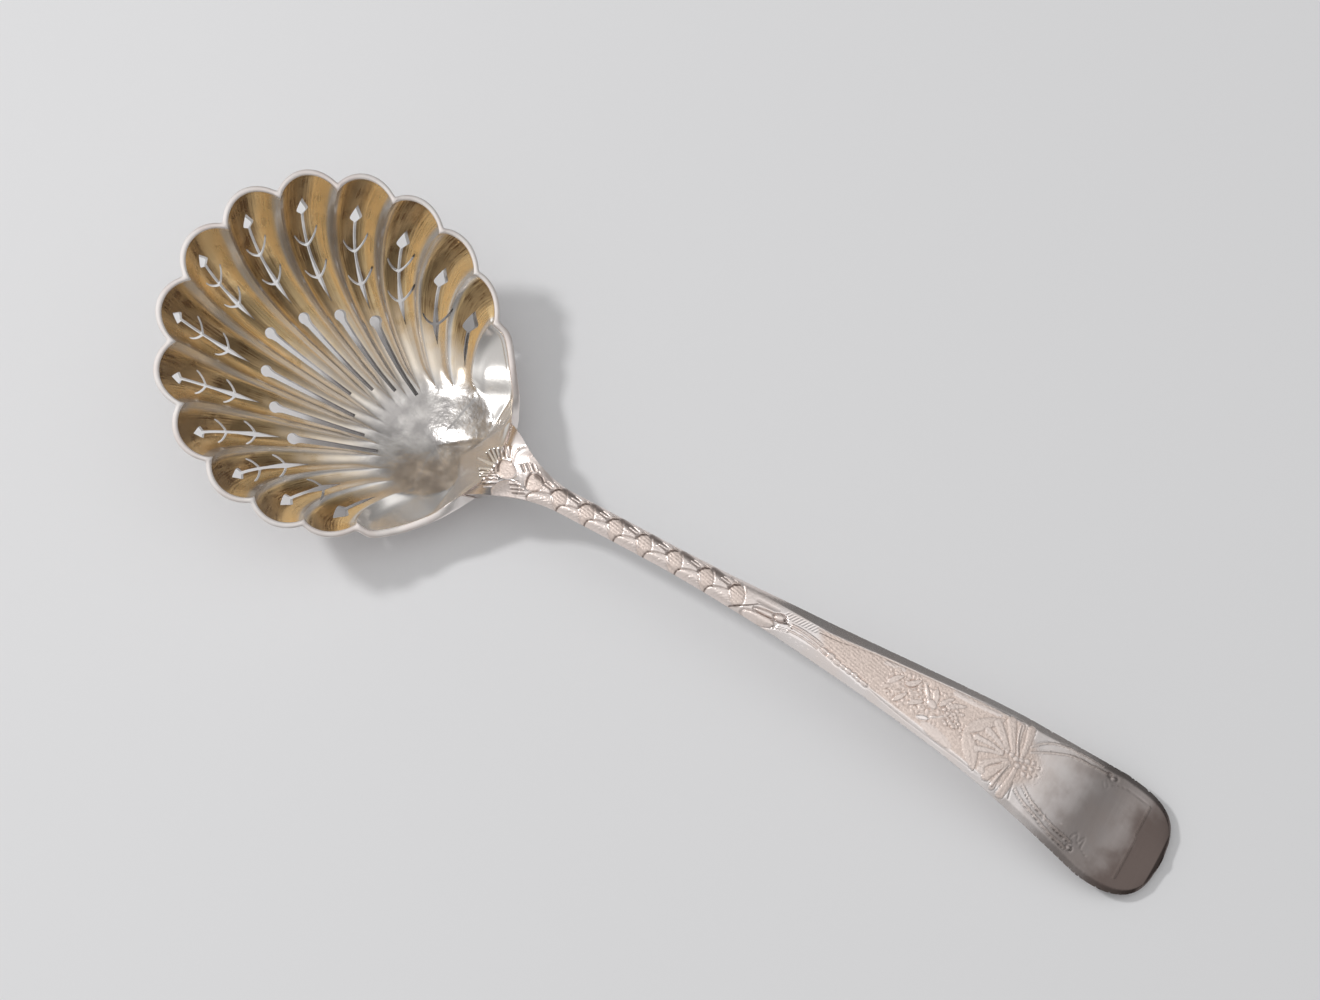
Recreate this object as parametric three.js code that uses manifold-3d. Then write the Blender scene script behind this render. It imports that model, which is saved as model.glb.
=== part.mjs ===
// A silver sifter spoon of ladle form, lying on a table as it is laid down.
//
// Three pieces of metal: a fluted, pierced shell bowl, a forged stem that widens into a turned-down
// handle end, and the rounded drop behind their joint. Millimetres, +Z up, +X from bowl to handle.
// The bowl is drawn in the frame of its own rim: U runs to the handle, Y across, N out of the mouth.
// Places along a flute are shares of the way from the hub (0) to the rim (1).

import * as THREE from "three";
import * as BufferGeometryUtils from "three/addons/utils/BufferGeometryUtils.js";
import Module from "manifold-3d";

const wasm = await Module();
wasm.setup();

// Bowl: rim, depth and metal
const RIM_RADIUS = 27.5; // from the middle of the rim to the notches between lobes
const BOWL_DEPTH = 14.2; // rim plane to the back of the bowl
const WALL_STEEPNESS = 3.0; // power of the bowl's profile, higher for a flatter bottom
const WALL = 0.95;
const BOWL_TILT = 28.0; // degrees the laid-down rim falls toward the handle
const WORN_DEPTH = 0.15; // worn flat where the bowl rests

// Bowl: lobes and flutes
const LOBES = 13;
const MIDDLE_LOBE_ANGLE = 22.4; // degrees of rim that the middle lobe takes
const LOBE_NARROWING = 0.37; // degrees lost, times the square of the place from the middle
const LOBE_BULGE = 2.45; // how far the middle lobe swells past the notches
const BULGE_LOSS = 0.04; // bulge lost, times the square of the place from the middle
const LOBE_ROUNDNESS = 0.68; // power of the scallop's curve, lower for a fuller lobe
const FLUTE_START = 0.2; // share of a flute's depth that it has at the hub
const NOSE_LENGTH = 0.14; // share of the way over which a ridge rises from the hub
const LIP_SHARE = 0.78; // share of the way where the wall starts to turn square to the rim
const RIDGE_THICKENING = 1.6; // most that the slope of a ridge adds to the wall, as a factor
const TURN_RADIUS = 17.6; // where the middle flute turns toward the rim
const TURN_GROWTH = 0.18; // more of it, times the square of the place from the middle

// Bowl: the plain hub where the ridges end
const HUB_OFFSET = 22.5; // middle of the rim to the middle of the hub
const HUB_RADIUS = 7.4; // on the tip side
const HUB_SPREAD = 2.2; // more radius at the last ridge
const HUB_NECK_RADIUS = 4.0; // on the neck side
const HUB_FAN = 14.0; // degrees of hub for each lobe
const HUB_CORNER = 150.0; // degrees of hub where the shoulder meets the neck

// Bowl: the plain shoulders beside the neck
const SHOULDER_BULGE = 1.25; // step outward from the last ridge
const RIDGE_FALL = 3.2; // degrees of rim over which the last ridge falls to the shoulder
const NECK_RISE = 22.0; // degrees of rim over which a shoulder rises into the neck

// Seam between bowl and stem
const NECK_HALF_WIDTH = 7.5;
const NECK_REACH = 31.1; // middle of the rim to the seam
const NECK_LIFT = 2.35; // seam above the rim plane
const NECK_TROUGH = 2.3; // how far the seam's corners stand above its middle
const NECK_THICKNESS = 2.1;
const SEAM_GAP = 0.3;

// Piercing, cut square to the rim plane
const SLOT_LOBES = 3; // lobes on each side of the middle one that have a slot
const SLOT_HEAD_AT = 0.435;
const SLOT_HEAD_STEP = 0.045; // nearer the hub, times the place from the middle
const SLOT_END_AT = 0.125;
const SLOT_END_STEP = 0.035;
const SLOT_HEAD_RADIUS = 0.95;
const SLOT_WIDTH = 1.1;
const SLOT_END_WIDTH = 0.55;
const BUD_TIP_AT = 0.955;
const BUD_TIP_DROP = 0.0075; // nearer the hub, times the square of the place
const BUD_LENGTH = 2.8;
const BUD_GROWTH = 0.035; // longer, times the square of the place
const BUD_WIDTH = 1.9;
const BUD_WIDEST = 0.72; // share of the bud's length
const BUD_WAIST_AT = 0.88;
const BUD_WAIST = 0.5; // share of the bud's width
const STALK_FOOT_AT = 0.51;
const STALK_FOOT_STEP = 0.053;
const STALK_WIDTH = 0.45;
const CROTCH_WIDTH = 0.85; // width of the stalk at its lowest twigs, from where it narrows to a point
const TWIG_PLACES = [0.2, 0.5]; // shares of the way from the stalk's foot to the bud's tip
const TWIG_FORWARD = 2.2;
const TWIG_SIDEWAYS = 1.9;
const TWIG_BEND_FORWARD = 0.35; // shares of a twig's reach where its curve bends
const TWIG_BEND_SIDEWAYS = 0.75;
const TWIG_WIDTH = 0.42;
const TWIG_END = 0.6; // share of a twig's width at its end
const TWO_TWIG_LOBES = 4; // places from the middle up to which a stalk has both pairs
const ONE_TWIG_LOBES = 5;

// Stem and handle, by distance from the seam and height above the table
const HANDLE_PROFILE = [
  [14, 11.5],
  [36, 13.8],
  [60, 14.6],
  [79, 14.0],
  [90, 12.4],
  [101, 8.1],
  [112, 3.7],
];
const STEM_LENGTH = 120.5;
const STEM_HALF_WIDTH = 2.05;
const HANDLE_HALF_WIDTH = 9.0;
const FLARE_LENGTH = 14.0; // seam to where the stem is narrowest
const FLARE_POWER = 2.2;
const WIDENING_START = 31.0;
const WIDENING_POWER = 1.6;
const END_ROUND = 10.5; // length of the rounded end
const END_SQUARENESS = 2.9; // power of the rounded end's outline
const STEM_THICKNESS = 3.0;
const END_THICKNESS = 1.8;
const FACE_CROWN = 0.3; // rise of the face's middle above its edges
const BACK_ROUNDING = 0.3; // share of the thickness that the back's edges lose
const BACK_NARROWING = 0.06; // share of the width that the back lacks

// Drop behind the joint
const DROP_AHEAD = 9.0; // seam to the drop's round end, under the bowl
const DROP_BEHIND = 9.5; // seam to its narrow end, under the stem
const DROP_HALF_WIDTH = 4.2;
const DROP_END_HALF_WIDTH = 1.3;
const DROP_THICKNESS = 1.1;
const DROP_EDGE = 0.3;
const DROP_END_ROUND = 0.45; // share of the narrow end's half width at its very end
const DROP_TAPER = 1.5; // power of the narrowing under the stem
const DROP_GAP = 0.35; // upward, which leaves the seam's gap square to the sloping metal

// Facets
const LOBE_STEPS = 6;
const SHOULDER_STEPS = 6;
const SHOULDER_CROWDING = 1.6; // power that draws a shoulder's lines toward the last ridge
const NECK_STEPS = 6;
const FLUTE_ROWS = [0, 0.05, 0.11, 0.2, 0.32, 0.44, 0.56, 0.68, 0.79, 0.88, 0.95, 1];
const PATH_STEPS = 4;
const TWIG_STEPS = 2;
const HOLE_SEGMENTS = 8;
const STEM_FACE_POINTS = 8;
const FLARE_STATIONS = 8;
const NARROW_STATIONS = 4;
const HANDLE_STATIONS = 18;
const END_STATIONS = 9;
const DROP_STATIONS = 10;
const DROP_RIBS = 4;

const SIDES = [-1, 1];
const LEAST_WAVE = 0.01; // stands in for 0 where a flute's wave is divided by
const HALF_LOBES = LOBES / 2;
const tiltAngle = THREE.MathUtils.degToRad(BOWL_TILT);

const seamSlope = Math.atan((WALL_STEEPNESS * (BOWL_DEPTH + NECK_LIFT)) / NECK_REACH);
const seamSquare = new THREE.Vector3(-Math.sin(seamSlope), 0, Math.cos(seamSlope));
const lastRidgeAngle = lobeAngle(HALF_LOBES);
const seamCorner = seamPoint(1);
const cornerAngle = 180 - THREE.MathUtils.radToDeg(Math.atan2(seamCorner.y, seamCorner.x));
const shoulderGrowth = Math.hypot(seamCorner.x, seamCorner.y) - RIM_RADIUS - SHOULDER_BULGE;

// Degrees of rim, from the tip, at a place counted in lobes from the middle one.
function lobeAngle(place) {
  const size = Math.abs(place);
  return Math.sign(place) * (MIDDLE_LOBE_ANGLE * size - LOBE_NARROWING * size * size);
}

// Point of the seam's back edge, from its middle (0) to a corner (1 or -1).
function seamPoint(across) {
  const rise = NECK_TROUGH * across * across;
  return new THREE.Vector3(NECK_REACH, NECK_HALF_WIDTH * across, NECK_LIFT).addScaledVector(seamSquare, rise);
}

// Share of the seam's half width that lies in the direction of a rim angle beyond the corner.
function seamShare(angle) {
  const slope = Math.tan(THREE.MathUtils.degToRad(180 - Math.abs(angle)));
  let share = 1;
  for (let pass = 0; pass < 5; pass += 1) {
    share = (seamPoint(share).x * slope) / NECK_HALF_WIDTH;
  }
  return share;
}

// How far a rim angle is into the neck: 0 on the shoulder, 1 at the seam.
function neckShare(angle) {
  return THREE.MathUtils.smoothstep(Math.abs(angle), cornerAngle - NECK_RISE / 2, cornerAngle);
}

// Distance of the plain rim, without bulges, in the direction of an angle.
function rimDistance(angle) {
  const size = Math.abs(angle);
  if (size >= cornerAngle) {
    const point = seamPoint(seamShare(size));
    return Math.hypot(point.x, point.y);
  }
  const share = Math.max(0, (size - lastRidgeAngle) / (cornerAngle - lastRidgeAngle));
  return RIM_RADIUS + shoulderGrowth * share + SHOULDER_BULGE * neckShare(size);
}

// Height of the rim above its plane, in the direction of an angle.
function rimHeight(angle) {
  const size = Math.abs(angle);
  if (size >= cornerAngle) {
    return seamPoint(seamShare(size)).z;
  }
  return seamCorner.z * THREE.MathUtils.smoothstep(size, cornerAngle - NECK_RISE, cornerAngle);
}

// Height of the bowl's plain back, without flutes.
function backHeight(u, y) {
  const angle = THREE.MathUtils.radToDeg(Math.atan2(Math.abs(y), -u));
  const share = (Math.hypot(u, y) / rimDistance(angle)) ** WALL_STEEPNESS;
  return rimHeight(angle) * share - BOWL_DEPTH * (1 - share);
}

function backNormal(u, y) {
  const step = 0.05;
  const slopeU = (backHeight(u + step, y) - backHeight(u - step, y)) / (2 * step);
  const slopeY = (backHeight(u, y + step) - backHeight(u, y - step)) / (2 * step);
  return new THREE.Vector3(-slopeU, -slopeY, 1).normalize();
}

// Point on the hub's edge. The angle is in degrees about the hub, from the tip's direction.
function hubPoint(angle) {
  const lastFan = HUB_FAN * HALF_LOBES;
  const size = Math.abs(angle);
  let radius = HUB_RADIUS + HUB_SPREAD * (size / lastFan) ** 2;
  if (size > lastFan) {
    const ease = THREE.MathUtils.smoothstep(size, lastFan, 180);
    radius = THREE.MathUtils.lerp(HUB_RADIUS + HUB_SPREAD, HUB_NECK_RADIUS, ease);
  }
  const turn = THREE.MathUtils.degToRad(angle);
  return new THREE.Vector2(HUB_OFFSET - radius * Math.cos(turn), radius * Math.sin(turn));
}

function polarPoint(radius, angle) {
  const turn = THREE.MathUtils.degToRad(angle);
  return new THREE.Vector2(-radius * Math.cos(turn), radius * Math.sin(turn));
}

function turnRadius(place) {
  return TURN_RADIUS + TURN_GROWTH * place * place;
}

// A line of the bowl from the hub to the rim inside the flutes.
function fluteLine(place) {
  const angle = lobeAngle(place);
  const phase = Math.PI * (place + HALF_LOBES);
  const wave = Math.abs(Math.sin(phase));
  const bulge = LOBE_BULGE - BULGE_LOSS * place * place;
  const lobeWidth = RIM_RADIUS * THREE.MathUtils.degToRad(lobeAngle(0.5) - lobeAngle(-0.5));
  const waveGrowth = LOBE_ROUNDNESS * Math.max(wave, LEAST_WAVE) ** (LOBE_ROUNDNESS - 1);
  const steepness = Math.PI * Math.abs(Math.cos(phase)) * waveGrowth;
  return {
    angle,
    crest: 1 - wave ** LOBE_ROUNDNESS,
    bulge,
    thickening: Math.min(RIDGE_THICKENING, Math.hypot(1, (bulge / lobeWidth) * steepness)),
    hub: hubPoint(HUB_FAN * place),
    turn: polarPoint(turnRadius(place), angle),
    edge: polarPoint(rimDistance(angle), angle),
  };
}

// A line of the bowl on a shoulder, from the last ridge (0) to the seam's corner (1).
function shoulderLine(share, side) {
  const angle = THREE.MathUtils.lerp(lastRidgeAngle, cornerAngle, share);
  const crest = Math.exp(-(((angle - lastRidgeAngle) / RIDGE_FALL) ** 2));
  const hub = hubPoint(side * THREE.MathUtils.lerp(HUB_FAN * HALF_LOBES, HUB_CORNER, share));
  const edge = polarPoint(rimDistance(angle), side * angle);
  const bent = polarPoint(turnRadius(HALF_LOBES), side * angle);
  const straight = hub.clone().lerp(edge, 0.5);
  return {
    angle: side * angle,
    crest,
    bulge: SHOULDER_BULGE * (1 - neckShare(angle)),
    thickening: THREE.MathUtils.lerp(1, RIDGE_THICKENING, crest),
    hub,
    turn: bent.lerp(straight, THREE.MathUtils.smoothstep(share, 0, 0.6)),
    edge,
  };
}

// A line of the bowl that ends on the seam, by share of the seam's half width.
function neckLine(across) {
  const point = seamPoint(across);
  const edge = new THREE.Vector2(point.x, point.y);
  const side = across < 0 ? -1 : 1;
  const hub = hubPoint(side * THREE.MathUtils.lerp(180, HUB_CORNER, Math.abs(across)));
  return {
    angle: THREE.MathUtils.radToDeg(Math.atan2(edge.y, -edge.x)),
    crest: 0,
    bulge: 0,
    thickening: 1,
    hub,
    turn: hub.clone().lerp(edge, 0.5),
    edge,
  };
}

// Every line of the bowl once round, from one last ridge over the tip to the other and by the neck.
function bowlLines() {
  const lines = [];
  for (let step = 0; step <= LOBES * LOBE_STEPS; step += 1) {
    lines.push(fluteLine(step / LOBE_STEPS - HALF_LOBES));
  }
  const shares = [];
  for (let step = 1; step < SHOULDER_STEPS; step += 1) {
    shares.push((step / SHOULDER_STEPS) ** SHOULDER_CROWDING);
  }
  lines.push(...shares.map((share) => shoulderLine(share, 1)));
  for (let step = 0; step <= NECK_STEPS; step += 1) {
    lines.push(neckLine(1 - (2 * step) / NECK_STEPS));
  }
  lines.push(...shares.reverse().map((share) => shoulderLine(share, -1)));
  return lines;
}

// Plan point on a line of the bowl. A share below 0 is inside the hub, down to -1 at its middle.
function planPoint(line, share) {
  if (share < 0) {
    return new THREE.Vector2(HUB_OFFSET, 0).lerp(line.hub, 1 + share);
  }
  const curve = new THREE.QuadraticBezierCurve(line.hub, line.turn, line.edge);
  return curve.getPoint(share);
}

// Back and face of the metal at a place on a line, as a pair of points in the rim's frame.
function wallPoints(line, share) {
  const plan = planPoint(line, share);
  const outward = new THREE.Vector3(plan.x, plan.y, 0).normalize();
  const neck = neckShare(line.angle);
  const lip = THREE.MathUtils.smoothstep(share, LIP_SHARE, 1);
  const lipWay = outward.multiplyScalar(1 - neck).addScaledVector(seamSquare, -neck);
  const way = backNormal(plan.x, plan.y).negate().lerp(lipWay, lip).normalize();

  const hubSink = LOBE_BULGE * FLUTE_START;
  const along = Math.max(share, 0);
  const full = line.bulge * THREE.MathUtils.lerp(FLUTE_START, 1, along);
  const sink = THREE.MathUtils.lerp(full, hubSink, Math.max(-share, 0));
  const nose = THREE.MathUtils.smoothstep(share, 0, NOSE_LENGTH);
  const depth = sink * (1 - line.crest * nose);

  const plain = THREE.MathUtils.lerp(WALL, NECK_THICKNESS, neck * along);
  const thickness = plain * THREE.MathUtils.lerp(1, line.thickening, nose);
  const height = share === 1 ? rimHeight(line.angle) : backHeight(plan.x, plan.y);
  const back = new THREE.Vector3(plan.x, plan.y, height).addScaledVector(way, depth);
  return { back, face: back.clone().addScaledVector(way, -thickness) };
}

// Closed shell between the back and the face, with a lip along the rim and the seam.
function shellGeometry() {
  const lines = bowlLines();
  const middle = wallPoints(lines[0], -1);
  const shares = [-0.5, ...FLUTE_ROWS];
  const rows = shares.map((share) => lines.map((line) => wallPoints(line, share)));
  const points = [middle.face, middle.back];
  rows.forEach((row) => row.forEach((pair) => points.push(pair.face, pair.back)));

  const faceIndex = (row, column) => 2 + 2 * (row * lines.length + (column % lines.length));
  const backIndex = (row, column) => faceIndex(row, column) + 1;
  const triangles = [];
  const addQuad = (a, b, c, d) => triangles.push(a, b, c, a, c, d);
  const last = rows.length - 1;
  for (let column = 0; column < lines.length; column += 1) {
    const next = column + 1;
    triangles.push(0, faceIndex(0, next), faceIndex(0, column));
    triangles.push(1, backIndex(0, column), backIndex(0, next));
    for (let row = 0; row < last; row += 1) {
      const out = row + 1;
      addQuad(faceIndex(row, column), faceIndex(row, next), faceIndex(out, next), faceIndex(out, column));
      addQuad(backIndex(row, column), backIndex(out, column), backIndex(out, next), backIndex(row, next));
    }
    addQuad(faceIndex(last, column), faceIndex(last, next), backIndex(last, next), backIndex(last, column));
  }
  return indexedGeometry(points, triangles);
}

function indexedGeometry(points, triangles) {
  const geometry = new THREE.BufferGeometry();
  geometry.setFromPoints(points);
  geometry.setIndex(triangles);
  return geometry;
}

// A closed strip along a plan line with its own half width at each point.
function strokeShape(centres, halfWidths) {
  const left = [];
  const right = [];
  centres.forEach((centre, at) => {
    const before = centres[Math.max(at - 1, 0)];
    const after = centres[Math.min(at + 1, centres.length - 1)];
    const across = after.clone().sub(before).normalize().rotateAround(new THREE.Vector2(), Math.PI / 2);
    left.push(centre.clone().addScaledVector(across, halfWidths[at]));
    if (halfWidths[at] > 0) {
      right.unshift(centre.clone().addScaledVector(across, -halfWidths[at]));
    }
  });
  return new THREE.Shape([...left, ...right]);
}

// Points of a flute's middle between two shares of the way.
function flutePoints(place, from, to, steps) {
  const line = fluteLine(place);
  const shareAt = (step) => THREE.MathUtils.lerp(from, to, step / steps);
  return Array.from({ length: steps + 1 }, (_, step) => planPoint(line, shareAt(step)));
}

// Slot with a round head toward the rim and a tail that narrows toward the hub.
function slotShapes(place) {
  const size = Math.abs(place);
  const headAt = SLOT_HEAD_AT - SLOT_HEAD_STEP * size;
  const endAt = SLOT_END_AT - SLOT_END_STEP * size;
  const centres = flutePoints(place, headAt, endAt, PATH_STEPS);
  const widthAt = (at) => THREE.MathUtils.lerp(SLOT_WIDTH, SLOT_END_WIDTH, at / PATH_STEPS);
  const widths = centres.map((_, at) => widthAt(at) / 2);
  const head = new THREE.Shape();
  head.absarc(centres[0].x, centres[0].y, SLOT_HEAD_RADIUS, 0, 2 * Math.PI);
  return [head, strokeShape(centres, widths)];
}

// Pointed bud near the rim, with its stalk running down the flute to a point.
function stalkShape(line, budTip, foot, budLength, crotchWidth) {
  const run = planPoint(line, budTip).distanceTo(planPoint(line, foot));
  const budShare = budLength / run;
  const crotch = 1 - TWIG_PLACES[0];
  const at = (share) => planPoint(line, THREE.MathUtils.lerp(budTip, foot, share));
  const centres = [at(0), at(budShare * BUD_WIDEST), at(budShare * BUD_WAIST_AT), at(budShare)];
  const widths = [0, BUD_WIDTH / 2, (BUD_WAIST * BUD_WIDTH) / 2, STALK_WIDTH / 2];
  for (let step = 1; step < PATH_STEPS; step += 1) {
    centres.push(at(THREE.MathUtils.lerp(budShare, crotch, step / PATH_STEPS)));
    widths.push(STALK_WIDTH / 2);
  }
  centres.push(at(crotch), at(1));
  widths.push(crotchWidth / 2, 0);
  return strokeShape(centres, widths);
}

// Curved twig that leaves the stalk toward one side.
function twigShape(line, at, side) {
  const start = planPoint(line, at);
  const forward = planPoint(line, at + 0.02).sub(start).normalize();
  const sideways = forward.clone().rotateAround(new THREE.Vector2(), (side * Math.PI) / 2);
  forward.multiplyScalar(TWIG_FORWARD);
  sideways.multiplyScalar(TWIG_SIDEWAYS);
  const reach = (ahead, aside) => {
    const point = start.clone().addScaledVector(forward, ahead);
    return point.addScaledVector(sideways, aside);
  };
  const bend = reach(TWIG_BEND_FORWARD, TWIG_BEND_SIDEWAYS);
  const end = reach(1, 1);
  const centres = new THREE.QuadraticBezierCurve(start, bend, end).getPoints(TWIG_STEPS);
  const widthAt = (step) => TWIG_WIDTH * THREE.MathUtils.lerp(1, TWIG_END, step / TWIG_STEPS);
  const widths = centres.map((_, step) => widthAt(step) / 2);
  return strokeShape(centres, widths);
}

function sprigShapes(place) {
  const size = Math.abs(place);
  const line = fluteLine(place);
  const budTip = BUD_TIP_AT - BUD_TIP_DROP * size * size;
  const foot = STALK_FOOT_AT - STALK_FOOT_STEP * size;
  let pairs = TWIG_PLACES;
  if (size > TWO_TWIG_LOBES) {
    pairs = size > ONE_TWIG_LOBES ? [] : TWIG_PLACES.slice(0, 1);
  }
  const crotchWidth = pairs.length > 0 ? CROTCH_WIDTH : STALK_WIDTH;
  const shapes = [stalkShape(line, budTip, foot, BUD_LENGTH + BUD_GROWTH * size * size, crotchWidth)];
  for (const share of pairs) {
    for (const side of SIDES) {
      shapes.push(twigShape(line, THREE.MathUtils.lerp(foot, budTip, share), side));
    }
  }
  return shapes;
}

function solidOf(geometry) {
  const bare = geometry.clone();
  bare.deleteAttribute("normal");
  bare.deleteAttribute("uv");
  const merged = BufferGeometryUtils.mergeVertices(bare);
  const mesh = new wasm.Mesh({
    numProp: 3,
    vertProperties: new Float32Array(merged.attributes.position.array),
    triVerts: new Uint32Array(merged.index.array),
  });
  return new wasm.Manifold(mesh);
}

function geometryOf(solid) {
  const mesh = solid.getMesh();
  const geometry = new THREE.BufferGeometry();
  geometry.setAttribute("position", new THREE.BufferAttribute(new Float32Array(mesh.vertProperties), 3));
  geometry.setIndex(new THREE.BufferAttribute(new Uint32Array(mesh.triVerts), 1));
  geometry.computeVertexNormals();
  return geometry;
}

// From the rim's frame to the table, with the bowl's lowest point sunk by what is worn off it.
function restingMatrix(geometry) {
  const turned = geometry.clone().rotateY(tiltAngle);
  turned.computeBoundingBox();
  const lift = -turned.boundingBox.min.z - WORN_DEPTH;
  const turn = new THREE.Matrix4().makeRotationY(tiltAngle);
  return new THREE.Matrix4().makeTranslation(0, 0, lift).multiply(turn);
}

function cutterSolid(shape, matrix) {
  const geometry = new THREE.ExtrudeGeometry(shape, {
    depth: 2 * BOWL_DEPTH,
    bevelEnabled: false,
    curveSegments: HOLE_SEGMENTS,
  });
  return solidOf(geometry.translate(0, 0, -1.5 * BOWL_DEPTH).applyMatrix4(matrix));
}

function makeBowl(shell, resting) {
  let bowl = solidOf(shell.clone().applyMatrix4(resting));
  for (let lobe = 0; lobe < LOBES; lobe += 1) {
    const place = lobe - (LOBES - 1) / 2;
    const shapes = sprigShapes(place);
    if (Math.abs(place) <= SLOT_LOBES) {
      shapes.push(...slotShapes(place));
    }
    for (const shape of shapes) {
      bowl = bowl.subtract(cutterSolid(shape, resting));
    }
  }
  const table = new THREE.BoxGeometry(4 * RIM_RADIUS, 4 * RIM_RADIUS, BOWL_DEPTH);
  table.translate(0, 0, -BOWL_DEPTH / 2);
  return geometryOf(bowl.subtract(solidOf(table)));
}

// Middle line of the stem's face in the X-Z plane, from the seam to the handle's end.
function stemLine(resting) {
  const middle = seamPoint(0).addScaledVector(seamSquare, NECK_THICKNESS).applyMatrix4(resting);
  const slope = seamSlope - tiltAngle;
  const along = new THREE.Vector2(Math.cos(slope), Math.sin(slope));
  const start = new THREE.Vector2(middle.x, middle.z).addScaledVector(along, SEAM_GAP);
  const points = [start, start.clone().addScaledVector(along, FLARE_LENGTH / 5)];
  for (const [distance, height] of HANDLE_PROFILE) {
    points.push(new THREE.Vector2(start.x + distance, height));
  }
  points.push(new THREE.Vector2(start.x + STEM_LENGTH, END_THICKNESS));
  return new THREE.SplineCurve(points);
}

// Place on the stem's line at a distance from the seam, found by halving.
function placeAlong(line, distance) {
  const startX = line.points[0].x;
  let low = 0;
  let high = 1;
  for (let pass = 0; pass < 40; pass += 1) {
    const middle = (low + high) / 2;
    if (line.getPoint(middle).x - startX < distance) {
      low = middle;
    } else {
      high = middle;
    }
  }
  return low;
}

function stemHalfWidth(distance) {
  const flare = Math.max(0, 1 - distance / FLARE_LENGTH) ** FLARE_POWER;
  const handleRun = STEM_LENGTH - END_ROUND - WIDENING_START;
  const widening = THREE.MathUtils.clamp((distance - WIDENING_START) / handleRun, 0, 1) ** WIDENING_POWER;
  const plain = STEM_HALF_WIDTH + (NECK_HALF_WIDTH - STEM_HALF_WIDTH) * flare
    + (HANDLE_HALF_WIDTH - STEM_HALF_WIDTH) * widening;
  const intoEnd = THREE.MathUtils.clamp((distance - STEM_LENGTH + END_ROUND) / END_ROUND, 0, 1);
  return plain * (1 - intoEnd ** END_SQUARENESS) ** (1 / END_SQUARENESS);
}

function stemThickness(distance) {
  const growth = THREE.MathUtils.smoothstep(distance, 0, FLARE_LENGTH);
  const grown = THREE.MathUtils.lerp(NECK_THICKNESS, STEM_THICKNESS, growth);
  const thinning = THREE.MathUtils.smoothstep(distance, WIDENING_START, STEM_LENGTH);
  return THREE.MathUtils.lerp(grown, END_THICKNESS, thinning);
}

// One closed section of the stem, face first and then back, square to its line.
function stemSection(line, distance) {
  const at = placeAlong(line, distance);
  const centre = line.getPoint(at);
  const tangent = line.getTangent(at);
  const halfWidth = stemHalfWidth(distance);
  const thickness = stemThickness(distance);
  const formed = THREE.MathUtils.smoothstep(distance, 0, FLARE_LENGTH);
  const trough = NECK_TROUGH * Math.max(0, 1 - distance / FLARE_LENGTH) ** FLARE_POWER;
  const slender = Math.min(1, halfWidth / STEM_HALF_WIDTH);
  const dish = trough - FACE_CROWN * formed * slender;
  const toPoint = (across, height) =>
    new THREE.Vector3(centre.x - tangent.y * height, across, centre.y + tangent.x * height);

  const ring = [];
  for (let step = 0; step < STEM_FACE_POINTS; step += 1) {
    const across = (2 * step) / (STEM_FACE_POINTS - 1) - 1;
    ring.push(toPoint(halfWidth * across, dish * across * across));
  }
  for (let step = 0; step < STEM_FACE_POINTS; step += 1) {
    const across = 1 - (2 * step) / (STEM_FACE_POINTS - 1);
    const rounding = BACK_ROUNDING * formed * thickness * Math.abs(across) ** 3;
    const width = halfWidth * (1 - BACK_NARROWING * formed) * across;
    ring.push(toPoint(width, trough * across * across - thickness + rounding));
  }
  return ring;
}

// Distances from the seam at which the stem has a section, closer where its outline turns.
function stemDistances() {
  const distances = [];
  for (let step = 0; step < FLARE_STATIONS; step += 1) {
    distances.push((FLARE_LENGTH * step) / FLARE_STATIONS);
  }
  for (let step = 0; step < NARROW_STATIONS; step += 1) {
    distances.push(THREE.MathUtils.lerp(FLARE_LENGTH, WIDENING_START, step / NARROW_STATIONS));
  }
  const handleEnd = STEM_LENGTH - END_ROUND;
  for (let step = 0; step < HANDLE_STATIONS; step += 1) {
    distances.push(THREE.MathUtils.lerp(WIDENING_START, handleEnd, step / HANDLE_STATIONS));
  }
  for (let step = 0; step < END_STATIONS; step += 1) {
    distances.push(handleEnd + END_ROUND * Math.sin((step / END_STATIONS) * (Math.PI / 2)));
  }
  return distances;
}

function loftGeometry(rings) {
  const size = rings[0].length;
  const triangles = [];
  for (let ring = 0; ring + 1 < rings.length; ring += 1) {
    for (let at = 0; at < size; at += 1) {
      const a = ring * size + at;
      const b = ring * size + ((at + 1) % size);
      triangles.push(a, b + size, b, a, a + size, b + size);
    }
  }
  const last = (rings.length - 1) * size;
  for (let at = 1; at + 1 < size; at += 1) {
    triangles.push(0, at, at + 1);
    triangles.push(last, last + at + 1, last + at);
  }
  return indexedGeometry(rings.flat(), triangles);
}

function makeStem(resting) {
  const line = stemLine(resting);
  return loftGeometry(stemDistances().map((distance) => stemSection(line, distance)));
}

// Height of the metal's underside above the table at a place, seen from below.
function undersideHeight(caster, metal, x, y) {
  caster.set(new THREE.Vector3(x, y, -BOWL_DEPTH), new THREE.Vector3(0, 0, 1));
  return caster.intersectObjects(metal)[0].point.z;
}

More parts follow.
